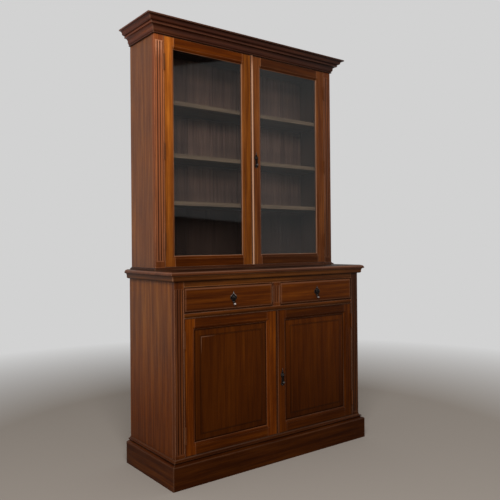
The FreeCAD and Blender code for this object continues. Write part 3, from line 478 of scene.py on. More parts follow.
def stain(woods, name, tone, lay, seed, *nodes, deal=None, rough=0.62, seams=None, painted_brightness=None):
    """Softwood under a dull dark stain for nodes, or for the node called name. With deal, the
    part behind STAIN_ENDS was never stained. From a point's coordinates, seams gives how much
    dirt lies in the joints between the boards, and painted_brightness how much lighter or darker
    the stain is painted for light and shade."""
    recipe = material_recipe(f"{name.replace('_', ' ')} deal")
    lot, ribbons, streaks, fibres, pores, clouds = grain(recipe, lay, seed, woods.ribbon * 0.8)
    x, y, z = recipe.place()
    figure = 0.5 + (ribbons - 0.5) * 1.3 + (streaks - 0.5) * 1.1 + (fibres - 0.5) * 0.4

    def shades(base):
        return recipe.ramp(figure, [
            (0.15, tinted(base, 0.68, -0.04)), (0.5, base), (0.9, tinted(base, 1.35))])

    body = shades(tone)
    if deal is not None:
        body = recipe.blend(y > STAIN_ENDS, body, shades(deal))
    level = (0.80 + lot * 0.40) * (0.70 + clouds * 0.60)
    # Painted light and shade: the stain is made lighter or darker by place.
    if painted_brightness is not None:
        level = level * painted_brightness(x, y, z)
    body = recipe.blend(1.0, body, level, "MULTIPLY")
    # Painted shade: corners near other surfaces are darkened, together with the dirt in the seams.
    corners = recipe.nearness(0.045, False).between(0.30, 0.95)
    if seams is not None:
        corners = corners.most(seams(x, y, z) * 1.2)
    body = recipe.blend(corners * (0.65 * woods.grime_and_shade), body, tinted(tone, 0.30))
    # Wear and painted highlight: the arrises are lighter.
    edge = recipe.nearness(0.003, True).between(0.30, 0.52) * clouds
    body = recipe.blend(edge * 0.8 * woods.wear, body, tinted(tone, 2.0))
    roughness = rough + (clouds - 0.5) * 0.2 + (fibres - 0.5) * 0.1
    dent = (fibres - 0.5) * 0.4 + (streaks - 0.5) * 0.5 - pores * 0.2
    dress(recipe.finish(recipe.surface(
        "ShaderNodeBsdfPrincipled", Base_Color=body, Roughness=roughness, Specular_IOR_Level=0.10,
        Normal=recipe.bump(dent, 0.0006, 0.4))), *(nodes or (name,)))


def old_glass(name, fittings, veil_density=1.0, dark_reflection=None):
    """Thin drawn sheet: what is behind shows through, a share of the mirror image lies over it,
    long slow waves bend that image, and a thin grey film of dust dulls it, which is also a painted
    reflection veil, veil_density times as dense as usual. From a point's coordinates,
    dark_reflection gives how much of the film is missing there, for a painted dark reflection;
    the mirror image is weak there too."""
    recipe = material_recipe(name)
    x, y, z = recipe.place()
    waves = recipe.noise(x * 6.0, y * 6.0, z * 2.5, 1.0)
    # Painted reflection: the film of dust is also the veil of the room's mirror image.
    film = (recipe.clouds(5.0, 4.0, shift=3.0) * 0.5 + 0.75) * (fittings.dust * veil_density)
    mirror = recipe.level("ShaderNodeFresnel", None, {"IOR": 1.5}) * fittings.glass_sheen
    # Painted dark reflection: where the point says, the film is gone and the mirror image is
    # weaker.
    if dark_reflection is not None:
        bare = dark_reflection(x, y, z)
        film = film * (1.0 - bare)
        mirror = mirror * (1.0 - bare * 0.7)
    outside = 1.0 - recipe.level("ShaderNodeNewGeometry", output="Backfacing")
    seen = outside * seen_rays(recipe)
    clear = recipe.surface("ShaderNodeBsdfTransparent", Color=fittings.glass_tint)
    shine = recipe.surface("ShaderNodeBsdfAnisotropic", Color=(1.0, 1.0, 1.0), Roughness=0.05,
                           Normal=recipe.bump(waves, 0.003, 0.2))
    grey = recipe.surface("ShaderNodeBsdfDiffuse", Color=fittings.dust_tint)
    glass = recipe.layer(mirror * seen, clear, shine)
    return recipe.finish(recipe.layer(film * seen, glass, grey))


def black_iron(name, fittings):
    """Japanned iron: dull black, brown in the hollows, with bright metal on the rubbed edges and,
    by the attribute named handled, where fingers take hold of it, which is also a painted
    highlight on the drop bulbs and the plates' upper rims."""
    recipe = material_recipe(name)
    cast, spots = recipe.clouds(900.0), recipe.clouds(160.0)
    body = recipe.blend(spots.between(0.45, 0.75), fittings.iron, tinted(fittings.iron, 1.9, -0.15))
    edge = recipe.nearness(0.0012, True).between(0.25, 0.55)
    held_and_highlit = recipe.level("ShaderNodeAttribute", {"attribute_name": "handled"}, output="Fac")
    # Wear on the edges, and wear with a painted highlight where the attribute says.
    rubbed = (edge * 0.25).most(held_and_highlit) * (0.45 + spots.between(0.35, 0.65) * 0.55)
    body = recipe.blend(rubbed, body, fittings.iron_worn)
    hollow = recipe.nearness(0.004, False).between(0.3, 0.9) * (1.0 - held_and_highlit)
    body = recipe.blend(hollow * 0.6, body, paint(28, 18, 12))
    return recipe.finish(recipe.surface(
        "ShaderNodeBsdfPrincipled", Base_Color=body, Metallic=rubbed * 0.45,
        Roughness=0.36 + (cast - 0.5) * 0.25 + hollow * 0.2, Specular_IOR_Level=0.07,
        Specular_Tint=(1.0, 0.74, 0.58), Normal=recipe.bump(cast + spots * 0.5, 0.0002, 0.3)))


def aged_brass(name, fittings):
    """Brass under a patchy brown tarnish, brighter on rubbed edges, with fine file marks."""
    recipe = material_recipe(name)
    x, y, z = recipe.place()
    patches = recipe.clouds(60.0, 4.0)
    marks = recipe.noise(x * 300.0, y * 300.0, z * 2400.0, 1.0)
    edge = recipe.nearness(0.0012, True).between(0.25, 0.55)
    skin = (patches.between(0.25, 0.60) * 0.4 + 0.6) * (1.0 - edge * 0.4)
    body = recipe.blend(skin, fittings.brass, fittings.brass_tarnish)
    return recipe.finish(recipe.surface(
        "ShaderNodeBsdfPrincipled", Base_Color=body, Metallic=0.85 - skin * 0.85,
        Specular_IOR_Level=0.12, Roughness=0.45 + skin * 0.22 + (marks - 0.5) * 0.1,
        Normal=recipe.bump(marks + patches, 0.00015, 0.25)))


# ---- shapes
def arc_line(points, steps=7):
    """A line through (u, v) or (u, v, bulge) points. An arc of total angle t from a to b runs
    through a + (b - a) sin(s t / 2) / sin(t / 2) turned by (1 - s) t / 2, for s from 0 to 1."""
    line = [np.array([complex(*points[0][:2])])]
    way = np.linspace(0.0, 1.0, steps + 1)[1:]
    for start, end in zip(points, points[1:]):
        a, b = complex(*start[:2]), complex(*end[:2])
        half_turn = 2 * math.atan(end[2]) if len(end) == 3 else 1e-6
        reach = np.sin(way * half_turn) / math.sin(half_turn)
        line.append(a + (b - a) * reach * np.exp(1j * (1 - way) * half_turn))
    joined = np.concatenate(line)
    return np.column_stack([joined.real, joined.imag])


def turned(profile, around):
    """A profile of (radius, height) turned about its own axis: rows follow the profile, columns
    the turn."""
    angle = np.linspace(0.0, 2 * math.pi, around, endpoint=False)
    radius, height = np.array(profile).T[:, :, None]
    height = np.broadcast_to(height, (len(profile), around))
    return np.stack([radius * np.cos(angle), radius * np.sin(angle), height], axis=-1)


def stepped_plate(outline, steps):
    """A plate whose edge follows a closed outline (N, 2). Each step is (inset, height): a ring
    moved inwards along the outline's own normals. The first and last ring close on the
    outline's upright middle line."""
    before, after = np.roll(outline, 1, axis=0), np.roll(outline, -1, axis=0)
    way = after - before
    way = way / np.maximum(np.hypot(way[:, 0], way[:, 1])[:, None], 1e-9)
    inward = np.column_stack([-way[:, 1], way[:, 0]])
    area = np.sum(outline[:, 0] * after[:, 1] - after[:, 0] * outline[:, 1])
    inward = inward * np.sign(area)
    low, high = outline[:, 1].min(), outline[:, 1].max()
    rings = []
    for inset, height in steps:
        ring = outline + inward * inset
        same_side = np.sign(ring[:, 0]) * np.sign(outline[:, 0]) > 0
        ring[:, 0] = np.where(same_side | (outline[:, 0] == 0), ring[:, 0], 0.0)
        ring[:, 1] = np.clip(ring[:, 1], low + inset, high - inset)
        rings.append(np.column_stack([ring, np.full(len(ring), height)]))
    first, last = (ring * np.array([0.0, 1.0, 1.0]) for ring in (rings[0], rings[-1]))
    return np.stack([first] + rings + [last])


def moved(surface, order, signs, at):
    """A surface with its axes taken in another order, with signs, and moved."""
    return surface[..., list(order)] * np.array(signs) + np.array(at)


def put(name, data):
    """A new object in the scene."""
    thing = bpy.data.objects.new(name, data)
    bpy.context.scene.collection.objects.link(thing)
    return thing


def make_piece(name, surfaces, material, body, replaced, handled):
    """One mesh from grids of points in millimetres whose columns close on themselves; doubles are
    merged and faces turned out. handled gives, from all points as one array, how much
    each is rubbed bright by fingers and painted with a highlight."""
    faces, start = [], 0
    for surface in surfaces:
        rows, columns = surface.shape[:2]
        row, column = np.meshgrid(np.arange(rows - 1), np.arange(columns), indexing="ij")
        beside = (column + 1) % columns
        corner = [row * columns + column, row * columns + beside,
                  (row + 1) * columns + beside, (row + 1) * columns + column]
        faces.append(np.stack(corner, axis=-1).reshape(-1, 4) + start)
        start += rows * columns
    points = np.concatenate([surface.reshape(-1, 3) for surface in surfaces])
    mesh = bpy.data.meshes.new(name)
    mesh.from_pydata((points * MM).tolist(), [], np.concatenate(faces).tolist())
    wear_and_light = mesh.attributes.new("handled", "FLOAT", "POINT")
    wear_and_light.data.foreach_set("value", handled(points).astype(np.float32))
    form = bmesh.new()
    form.from_mesh(mesh)
    bmesh.ops.remove_doubles(form, verts=form.verts, dist=0.00002)
    bmesh.ops.dissolve_degenerate(form, edges=form.edges, dist=0.00001)
    bmesh.ops.recalc_face_normals(form, faces=form.faces)
    form.to_mesh(mesh)
    form.free()
    mesh.shade_smooth()
    mesh.set_sharp_from_angle(angle=math.radians(38))
    mesh.materials.append(material)
    piece = put(name, mesh)
    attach(piece, body)
    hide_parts(replaced)


# Right halves of the handle plates from top to foot, and the drops: shares of half width or
# radius, shares of height, and bulge.
DRAWER_PLATE = [(0, 1), (0.82, 0.25, -0.25), (0.82, -0.35, 0.5), (0, -1, -0.2)]
DOOR_PLATE = [(0, 1), (0.4, 0.45, -0.1), (0.8, 0.2, -0.2), (0.8, -0.15, 0.25), (0.5, -0.25, -0.3),
              (0.5, -0.6), (0.8, -0.7, -0.3), (0.8, -0.85, 0.4), (0, -1, -0.2)]
PENDANT = [(0.0, 0.070), (0.26, 0.070), (0.26, 0.19), (0.26, 0.245, 0.9), (0.25, 0.58),
           (0.6, 0.74, -0.2), (0.36, 0.950, 0.643), (0.20, 0.962), (0.0, 1.0, 0.45)]
# Millimetres, and the orders of axes that turn a shape to face forwards or lie across.
PLATE_THICKNESS, PIN_PROUD, BULB_RADIUS = 2.5, 9.5, 6.0
FORWARDS = ((0, 2, 1), (1, -1, 1))
ACROSS = ((2, 0, 1), (1, 1, 1))


def plate_edge(shape, width, above, below):
    """Closed outline of a handle plate from its right half."""
    line = arc_line([(u * width / 2, v * (above if v > 0 else below), *bulge)
                     for u, v, *bulge in shape])
    return np.concatenate([line, line[-2:0:-1] * np.array([-1.0, 1.0])])


def handle_surfaces(x, face, z, outline, studs, fittings):
    """Plate with a raised rim, a turned boss, two ears, the pin through them and two studs."""
    rim, drop_in, stud = (value / MM for value in (
        fittings.rim_width, fittings.field_drop, fittings.stud_radius))
    top = PLATE_THICKNESS
    plate = stepped_plate(outline, [
        (0.0, 0.0), (0.0, top - 0.5), (0.15, top - 0.15), (0.5, top), (rim - 0.3, top),
        (rim, top - 0.2), (rim + 0.5, top - drop_in), (rim + 1.2, top - drop_in)])
    boss = turned([(0.0, 0.5), (7.5, 0.5), (7.5, 2.9), (7.1, 3.5), (6.3, 3.6), (5.9, 3.3),
                   (5.2, 3.4), (4.9, 4.1), (4.0, 4.5), (0.0, 4.5)], 32)
    rise = arc_line([(-4.0, -1.0), (-4.0, PIN_PROUD), (4.0, PIN_PROUD, -1.0), (4.0, -1.0)], 6)
    ear = stepped_plate(rise, [
        (0.45, 0.0), (0.12, 0.12), (0.0, 0.45), (0.0, 2.05), (0.12, 2.38), (0.45, 2.5)])
    pin = turned([(0.0, -5.5), (1.2, -5.4), (1.9, -5.1), (2.0, -4.7), (1.25, -4.7), (1.25, 4.7),
                  (2.0, 4.7), (1.9, 5.1), (1.2, 5.4), (0.0, 5.5)], 16)
    head = turned([(0.0, 0.0), (stud, 0.0), (stud, 0.3), (stud * 0.75, 0.75), (0.0, 0.95)], 14)
    return [
        moved(plate, *FORWARDS, (x, face, z)), moved(boss, *FORWARDS, (x, face, z)),
        *(moved(ear, (2, 1, 0), (side, -1, 1), (x + side * 2.3, face - top, z))
          for side in (-1.0, 1.0)),
        moved(pin, *ACROSS, (x, face - top - PIN_PROUD, z)),
        *(moved(head, *FORWARDS, (x, face - top + drop_in, z + height)) for height in studs)]


def pendant_surfaces(x, face, z, reach):
    """Ring round the pin, and below it a slim neck with a bead, a pear and a tip."""
    at_pin = (x, face - PLATE_THICKNESS - PIN_PROUD, z)
    bend = np.linspace(0.0, 2 * math.pi, 12, endpoint=False)
    ring = turned(np.column_stack([2.45 + 1.1 * np.cos(bend), 1.9 * np.sin(bend)]), 28)
    profile = arc_line([(u * BULB_RADIUS, -v * reach, *bulge) for u, v, *bulge in PENDANT], 6)
    return [moved(np.concatenate([ring, ring[:1]]), *ACROSS, at_pin),
            turned(profile, 28) + np.array(at_pin)]


# ---- operators
class BOOKCASE_OT_sides(bpy.types.Operator):
    """Finish the side boards of both cases"""
    bl_idname = "bookcase.sides"
    bl_label = "Side boards"

    def execute(self, context):
        woods = context.scene.bookcase_woods
        seed = 11.0
        for case, tone, inner, gloss, painted_light_from in (
                ("upper", woods.side, UPPER_INNER, 0.18, 1.2),
                ("base", woods.base_side, BASE_INNER, 0.10, 1.0)):
            for hand in ("left", "right"):
                polish(woods, f"{case}_side_{hand}", tone, standing, seed,
                       contrast=0.5, gloss=gloss,
                       # Painted shade and painted reflection: the sides are darker and redder
                       # towards the floor, lighter and greyer higher up.
                       painted_light=lambda x, y, z: 0.38 + z.between(0.0, painted_light_from) * 0.62,
                       reddened=lambda x, y, z: 1.0 - z.between(0.3, 0.75),
                       stained=lambda x, y, z: abs(x) < inner + 0.0005)
                seed += 1.0
        return {"FINISHED"}


def reed_grooves(middle, face):
    """Old wax and painted shade in the hollows between the reeds of an upright."""
    def wax_and_shade(x, y, z):
        return (abs(abs(x) - middle) < 0.0220) * (y - face).between(0.0010, 0.0030)
    return wax_and_shade


def reed_crests(face, wear_and_light, stop_highlight_from):
    """Thinner polish and a painted highlight on the crests of the reeds, and more of both above
    stop_highlight_from, at the reeds' stops.
    """
    def bared_and_lit(x, y, z):
        crest = ((y - face) > 0.0003) * (1.0 - (y - face).between(0.0007, 0.0016))
        return crest * (wear_and_light + z.between(stop_highlight_from, stop_highlight_from + 0.06) * 0.9)
    return bared_and_lit


class BOOKCASE_OT_face_frames(bpy.types.Operator):
    """Finish the pilasters, rails and mullion of the face frames"""
    bl_idname = "bookcase.face_frames"
    bl_label = "Face frames"

    def execute(self, context):
        woods = context.scene.bookcase_woods
        upper = (woods.upper_pilaster, UPPER_HALF, UPPER_FACE)
        base = (woods.base_pilaster, BASE_HALF, BASE_FACE)
        upper_reeds, base_reeds = 0.576, 0.5885
        # The third column paints the right-hand uprights in shade at half their tone; the fifth and
        # sixth set the wear and painted highlight of the reed crests and stops.
        for seed, (name, (tone, half, face), light, reeds, wear_and_light, stop_highlight_from) in enumerate((
                ("upper_pilaster_left", upper, 1.0, upper_reeds, 0.36, 2.05),
                ("upper_pilaster_right", upper, 0.5, upper_reeds, 0.20, 2.20),
                ("base_pilaster_left", base, 1.0, base_reeds, 0.12, 0.92),
                ("base_pilaster_right", base, 0.5, base_reeds, 0.08, 1.00),
                ("drawer_mullion", base, 1.0, 0.0, 0.14, 1.00))):
            # Painted light: lighter higher up, on the base uprights and on the outer faces.
            def painted_light(x, y, z):
                outer_face = abs(x) > half - 0.0003
                return ((0.45 + z.between(1.0, 2.05) * 0.6 + (z < 1.0) * 0.45)
                        * (1.0 + 0.35 * outer_face))

            polish(woods, name, tinted(tone, light), standing, 21.0 + seed, painted_light=painted_light,
                   wax_and_shade=reed_grooves(reeds, face), bared_and_lit=reed_crests(face, wear_and_light, stop_highlight_from))
        polish(woods, "upper rail", woods.rail, lying, 27.0, "base_top_rail", "upper_head_rail")
        # Painted highlight along the top of the drawer rail, painted shade below it.
        polish(woods, "drawer_rail", tinted(woods.rail, 0.72, -0.06), lying, 28.0, gloss=0.05,
               painted_light=lambda x, y, z: 0.45 + z.between(0.790, 0.800) * 1.1)
        return {"FINISHED"}


class BOOKCASE_OT_mouldings(bpy.types.Operator):
    """Finish the cornice, the counter and its moulding, the upper case's foot and the plinth"""
    bl_idname = "bookcase.mouldings"
    bl_label = "Mouldings"

    def execute(self, context):
        woods = context.scene.bookcase_woods
        upper, base = (UPPER_HALF, UPPER_FACE), (BASE_HALF, BASE_FACE)

        # Painted light and shade: lighter on the returned sides, darker towards the right.
        def painted_light_and_shade(case, gain, fade=0.0):
            def painted_light(x, y, z):
                return ((1.0 - x.between(-0.5, 0.6) * fade)
                        * (1.0 + gain * on_return(x, y, *case)))
            return painted_light

        # Painted shade with old wax: the front of the cornice's fillet, and under its foot.
        def cornice_wax_and_shade(x, y, z):
            fillet = z.between(2.237, 2.240) * (1.0 - z.between(2.2475, 2.2490))
            front = 1.0 - on_return(x, y, *upper)
            foot = 1.0 - z.between(2.174, 2.178)
            return (fillet * front * 0.5).most(foot * 0.8)

        # Dark joints at the counter, and painted shade on the counter's top under the upper case.
        def joint_wax_and_shade(x, y, z):
            below, under, over = (z.near(joint, 0.0008, 0.0028) for joint in COUNTER_JOINTS)
            top = abs(z - COUNTER_JOINTS[2]) < 0.0005
            return below.most(under).most(over).most(top * 0.7)

        # Painted highlight along the counter's nose.
        def nosing(x, y, z):
            return z.near(COUNTER_NOSE, 0.001, 0.004) * 0.45

        polish(woods, "cornice", woods.cornice, wrapped(*upper), 31.0, gloss=0.16,
               painted_light=painted_light_and_shade(upper, 2.2, 0.38), wax_and_shade_reach=0.018, wax_and_shade=cornice_wax_and_shade, arris=0.6,
               shine=(1.0, 0.86, 0.74))
        polish(woods, "counter moulding", tinted(woods.counter, 1.10, 0.22), wrapped(*base), 32.0,
               "base_top_moulding", wax_and_shade_reach=0.008, wax_and_shade=joint_wax_and_shade, painted_light=painted_light_and_shade(base, 0.5))
        polish(woods, "counter", woods.counter, lying, 33.0, "base_top", gloss=0.16,
               wax_and_shade_reach=0.010, wax_and_shade=joint_wax_and_shade, bared_and_lit=nosing, painted_light=painted_light_and_shade(base, 0.6))
        # Painted shade: the upper case's foot board is at half the counter's tone.
        polish(woods, "foot board", tinted(woods.counter, 0.5, -0.1), lying, 35.0, "upper_bottom")
        polish(woods, "plinth", woods.plinth, wrapped(*base), 34.0, gloss=0.05, wax_and_shade_reach=0.007,
               arris=0.30, painted_light=painted_light_and_shade(base, 0.7))
        return {"FINISHED"}


def bead_crest(middle, half, face, wear_and_light, shaded_heights):
    """The rounded bead at the meeting of two doors, which every hand rubs: wear and a painted
    highlight on its crest, cut back by painted shade over the shaded_heights."""
    def bared_and_lit(x, y, z):
        return ((abs(x - middle) < half) * (y < face)
                * (1.0 - z.between(*shaded_heights) * 0.7) * wear_and_light)
    return bared_and_lit


def gap_line(meeting, edges, reach=0.0045):
    """Old wax and painted shade along the edges of a door, next to the gap round it."""
    def wax_and_shade(x, y, z):
        return 1.0 - from_edges(x, z, (meeting, *edges)).between(0.001, reach)
    return wax_and_shade


def meeting_wax_and_shade(edge_wax_and_shade, middle, half, face):
    """Old wax and painted shade at both feet of a meeting bead as well."""
    def wax_and_shade(x, y, z):
        out = abs(x - middle)
        feet = (out > half) * (out < half + 0.0042) * (y < face + 0.0005)
        return edge_wax_and_shade(x, y, z).most(feet)
    return wax_and_shade


class BOOKCASE_OT_glazed_doors(bpy.types.Operator):
    """Finish the frames and beads of the glazed doors"""
    bl_idname = "bookcase.glazed_doors"
    bl_label = "Glazed doors"

    def execute(self, context):
        woods = context.scene.bookcase_woods
        inner, outer, foot, head = UPPER_SIGHT
        # Wear and a painted highlight on the bead's crest, cut back by painted shade under the
        # cornice.
        crest = bead_crest(0.0005, 0.0055, UPPER_FACE - 0.0040, 1.9, (2.08, 2.17))

        # Painted shade on the rails, lifted by painted light towards the head and to the left.
        def shaded(x, y, z):
            lit = x.between(-0.1, -0.5) * (z > 1.6)
            top = z.between(head, 2.172)
            return 0.95 + on_rail(x, UPPER_SIGHT) * (top * 0.15 + lit * 0.14 - 0.58)

        # Painted light on the outer stile, more higher up.
        def painted_light_and_shade(x, y, z):
            outer_stile = abs(x) > outer
            return shaded(x, y, z) * (1.0 + outer_stile * (0.30 + z.between(1.2, 2.1) * 0.75))

        def reddened(x, y, z):
            return on_rail(x, UPPER_SIGHT) * (0.4 + (x < 0.0) * 0.6)

        # Painted light on the reveals and sticking at the right and foot of each opening, which
        # face the lamp; and the bead's crest.
        def bared_and_lit(x, y, z):
            inwards = from_edges(x, z, UPPER_SIGHT)
            lit = ((x > -inner - 0.002) * (x < 0.0)).most(x > outer - 0.002)
            reveal = (inwards > -0.0015) * (y > UPPER_FACE + 0.002) * (y < UPPER_FACE + 0.016)
            sticking = ((inwards > -0.006) * (y < UPPER_FACE + 0.004)
                        * (z > foot - 0.001) * (z < head + 0.0005))
            right = lit.most((abs(x) < inner) * 0.6)
            sides = (reveal * lit.most(z < foot + 0.0015) * 1.6).most(sticking * right * 0.75)
            return crest(x, y, z).most(sides)

        edge = gap_line(NO_EDGE, UPPER_DOOR_EDGES)
        # The left door gets the lighter tone and painted light on its outer stile; the right door
        # the darker tone.
        for hand, tone, seed, finish in (
                ("left", woods.lit_door, 41.0, {
                    "gloss": 0.06, "painted_light": painted_light_and_shade,
                    "wax_and_shade": gap_line(0.0085, UPPER_DOOR_EDGES, 0.003)}),
                ("right", woods.shaded_door, 43.0, {
                    "gloss": 0.08, "painted_light": shaded,
                    "wax_and_shade": meeting_wax_and_shade(edge, 0.0005, 0.0056, UPPER_FACE)})):
            polish(woods, f"{hand} glazed door", tone, framed(UPPER_SIGHT, 1.6), seed,
                   f"upper_{hand}_door_frame", f"upper_{hand}_glazing_beads",
                   reddened=reddened, bared_and_lit=bared_and_lit, **finish)
        return {"FINISHED"}


class BOOKCASE_OT_glass(bpy.types.Operator):
    """Finish the panes"""
    bl_idname = "bookcase.glass"
    bl_label = "Glass"

    def execute(self, context):
        # Painted dark reflection: at the foot of the left pane and in a wedge at its head.
        def dark_reflection(x, y, z):
            foot = 1.0 - (z + x * 0.06).between(1.242, 1.252)
            head = (z - x * 0.27).between(2.1573, 2.1673)
            return foot.most(head)

        fittings = context.scene.bookcase_fittings
        dress(old_glass("left pane glass", fittings, dark_reflection=dark_reflection), "upper_left_glass")
        # Painted reflection: the right pane's veil is denser.
        dress(old_glass("right pane glass", fittings, veil_density=1.8), "upper_right_glass")
        return {"FINISHED"}


class BOOKCASE_OT_cupboard_doors(bpy.types.Operator):
    """Finish the frames and panels of the lower doors"""
    bl_idname = "bookcase.cupboard_doors"
    bl_label = "Cupboard doors"

    def execute(self, context):
        woods = context.scene.bookcase_woods

        # Painted shade: darker rails, and the right door's outer stile darker towards the foot.
        def shaded(x, y, z):
            foot = (x > LOWER_SIGHT[1]) * (1.0 - z.between(0.2, 0.7))
            return (1.05 - on_rail(x, LOWER_SIGHT) * 0.40) * (1.0 - foot * 0.36)

        # Painted light: the panels are lighter higher up, the right one more so.
        def painted_brightness(x, y, z):
            up = z.between(0.2, 0.7)
            return 0.85 + up * 0.25 + (x > 0.0) * (up * 0.35 - 0.02)

        # Painted shade with old wax: a dark band along the panel's edge at the sticking, and a line
        # at its step.
        def wax_and_shade(x, y, z):
            depth = from_edges(x, z, LOWER_SIGHT)
            step = depth.near(0.0345, 0.001, 0.007)
            return (1.0 - depth.between(0.002, 0.010)).most(step * 0.5)

        def field_edge(x, y, z):
            """A painted highlight along the edge of the field, only near the upper left corner of
            the left panel.
            """
            corner = 1.0 - abs(x + 0.468).most(abs(z - 0.692)).between(0.03, 0.09)
            return from_edges(x, z, LOWER_SIGHT).near(0.0385, 0.0006, 0.0028) * corner * 0.6

        # The right door is painted in shade at 0.7 of the tone.
        for seed, (hand, meeting) in enumerate((("left", 0.004), ("right", NO_EDGE))):
            edge = gap_line(meeting, LOWER_DOOR_EDGES)
            polish(woods, f"{hand} cupboard door", tinted(woods.cupboard_door, 1.0 - 0.3 * seed),
                   framed(LOWER_SIGHT, 0.46), 51.0 + seed, f"lower_{hand}_door_frame", gloss=0.05,
                   wax_and_shade=meeting_wax_and_shade(edge, 0.0035, 0.0036, BASE_FACE), painted_light=shaded,
                   bared_and_lit=bead_crest(0.0035, 0.0025, BASE_FACE - 0.005, 0.30, (0.77, 0.80)),
                   arris=0.4)
            polish(woods, f"{hand} panel", woods.panel, standing, 55.0 + seed,
                   f"lower_{hand}_panel", contrast=0.4, gloss=0.05, wax_and_shade=wax_and_shade,
                   bared_and_lit=field_edge, arris=0.15, painted_light=painted_brightness)
        return {"FINISHED"}


class BOOKCASE_OT_drawers(bpy.types.Operator):
    """Finish the drawer fronts, the boxes behind them and their runners"""
    bl_idname = "bookcase.drawers"
    bl_label = "Drawers"

    def execute(self, context):
        woods = context.scene.bookcase_woods

        # Painted shade with old wax: a dark band at the foot of each front and dark lines along its
        # edges by the gap.
        def wax_and_shade(x, y, z):
            foot = 1.0 - (z - DRAWER_FRONT[2]).between(0.007, 0.024)
            edge = 1.0 - from_edges(x, z, DRAWER_FRONT).between(0.001, 0.0045)
            return edge.most(foot * 0.75)

        # Painted light: the moulded edge is lighter at the top and sides, none at the foot.
        def moulded_edge(x, y, z):
            wear_and_light = (z > 0.816) * (0.24 + z.between(0.912, 0.918) * 0.2)
            return from_edges(x, z, DRAWER_FRONT).near(0.0085, 0.0015, 0.0055) * wear_and_light

        # The right drawer front is painted in shade at 0.9 of the tone.
        for seed, hand in enumerate(("left", "right")):
            polish(woods, f"{hand}_drawer_front", tinted(woods.drawer, 1.0 - 0.1 * seed), lying,
                   61.0 + seed, gloss=0.06, wax_and_shade=wax_and_shade, bared_and_lit=moulded_edge)
            stain(woods, f"{hand} drawer", woods.deal, drawer_boards(0.0395, 0.5475), 63.0 + seed,
                  f"{hand}_drawer_box", rough=0.7)
        stain(woods, "runner", woods.deal, running_back, 66.0, "drawer_runners", rough=0.7)
        return {"FINISHED"}


class BOOKCASE_OT_insides(bpy.types.Operator):
    """Finish the back boards, shelves, floors and top"""
    bl_idname = "bookcase.insides"
    bl_label = "Insides"

    def execute(self, context):
        woods = context.scene.bookcase_woods
        low, middle, high = SHELF_UNDERSIDES

        # Painted light: above the lowest shelf the back boards are painted lighter, most in a band
        # some 30 to 60 mm under each shelf.
        def painted_brightness(x, y, z):
            ceiling = low + (z > low) * (middle - low) + (z > middle) * (high - middle)
            depth = ceiling - z
            lit_below_shelf = 1.25 + depth.between(0.0, 0.03) * 1.3 - depth.between(0.06, 0.15) * 1.3
            return choose(z.between(1.30, 1.36) * (y < STAIN_ENDS), lit_below_shelf * 2.2, 1.0)

        for seed, (case, half) in enumerate((("upper", UPPER_INNER), ("base", BASE_INNER))):
            def seams(x, y, z):
                boards = (x + (half - FIRST_BOARD)) / BACK_BOARD
                return 1.0 - abs(boards - (boards + 0.5).floor()).between(0.006, 0.022)

            stain(woods, f"{case}_back_boards", woods.stain, staved(half), 71.0 + seed,
                  deal=woods.deal, seams=seams, painted_brightness=painted_brightness)
        for seed, name in enumerate(("shelf_bottom", "shelf_middle", "shelf_top")):
            # Painted light: the front strip of each shelf keeps the pale tone, and the rest is
            # painted at about a third of it.
            stain(woods, name, woods.shelf, lying, 74.0 + seed,
                  painted_brightness=lambda x, y, z: 1.0 - y.between(0.026, 0.034) * 0.65)
        for seed, name in enumerate(("cupboard_shelf", "base_bottom", "upper_top")):
            stain(woods, name, woods.stain, lying, 77.0 + seed)
        stain(woods, "cleat", woods.stain, running_back, 81.0, "shelf_cleats")
        return {"FINISHED"}


class BOOKCASE_OT_handles(bpy.types.Operator):
    """Make the plates and drops of the handles"""
    bl_idname = "bookcase.handles"
    bl_label = "Drop handles"

    def execute(self, context):
        fittings = context.scene.bookcase_fittings
        iron = black_iron("blackened iron", fittings)
        drawer = (plate_edge(DRAWER_PLATE, 36.0, 28.0, 38.0), (16.0, -24.0), 42.0)
        door = (plate_edge(DOOR_PLATE, 24.0, 34.0, 60.0), (20.0, -51.0), 46.0)
        base, upper = BASE_FACE / MM, UPPER_FACE / MM
        # The last column sets how strongly each handle is worn bright and painted with a highlight.
        for prefix, body, x, face, z, (edge, studs, reach), rub_and_highlight in (
                ("left_drawer", "left_drawer", -277.0, base + 0.3, 870.0, drawer, 1.0),
                ("right_drawer", "right_drawer", 291.0, base + 0.3, 870.0, drawer, 0.5),
                ("upper_right", "upper_right_door", 27.0, upper, 1608.0, door, 0.12),
                ("lower_right", "lower_right_door", 35.5, base, 440.0, door, 0.12)):
            pin = np.array([x, face - PLATE_THICKNESS - PIN_PROUD])

            # Painted highlight with wear on the upper rim of the plate.
            def rim(points):
                far = np.hypot(points[:, 0] - x, points[:, 2] - z) > 9.0
                proud = points[:, 1] < face - 2.2
                return 0.5 * rub_and_highlight * rub_and_highlight * far * proud * (points[:, 2] > z + 3.0)

            # Painted highlight with wear on the pear of the drop.
            def bulb(points):
                swell = np.clip((np.hypot(*(points[:, :2] - pin).T) - 2.6) / 1.8, 0.0, 1.0)
                return swell * (points[:, 2] < z - 8.0) * rub_and_highlight

            make_piece(f"{prefix}_handle", handle_surfaces(x, face, z, edge, studs, fittings),
                       iron, body, f"{prefix}_handle_plate", rim)
            make_piece(f"{prefix}_pendant", pendant_surfaces(x, face, z, reach),
                       iron, f"{prefix}_drop", f"{prefix}_drop", bulb)
        return {"FINISHED"}


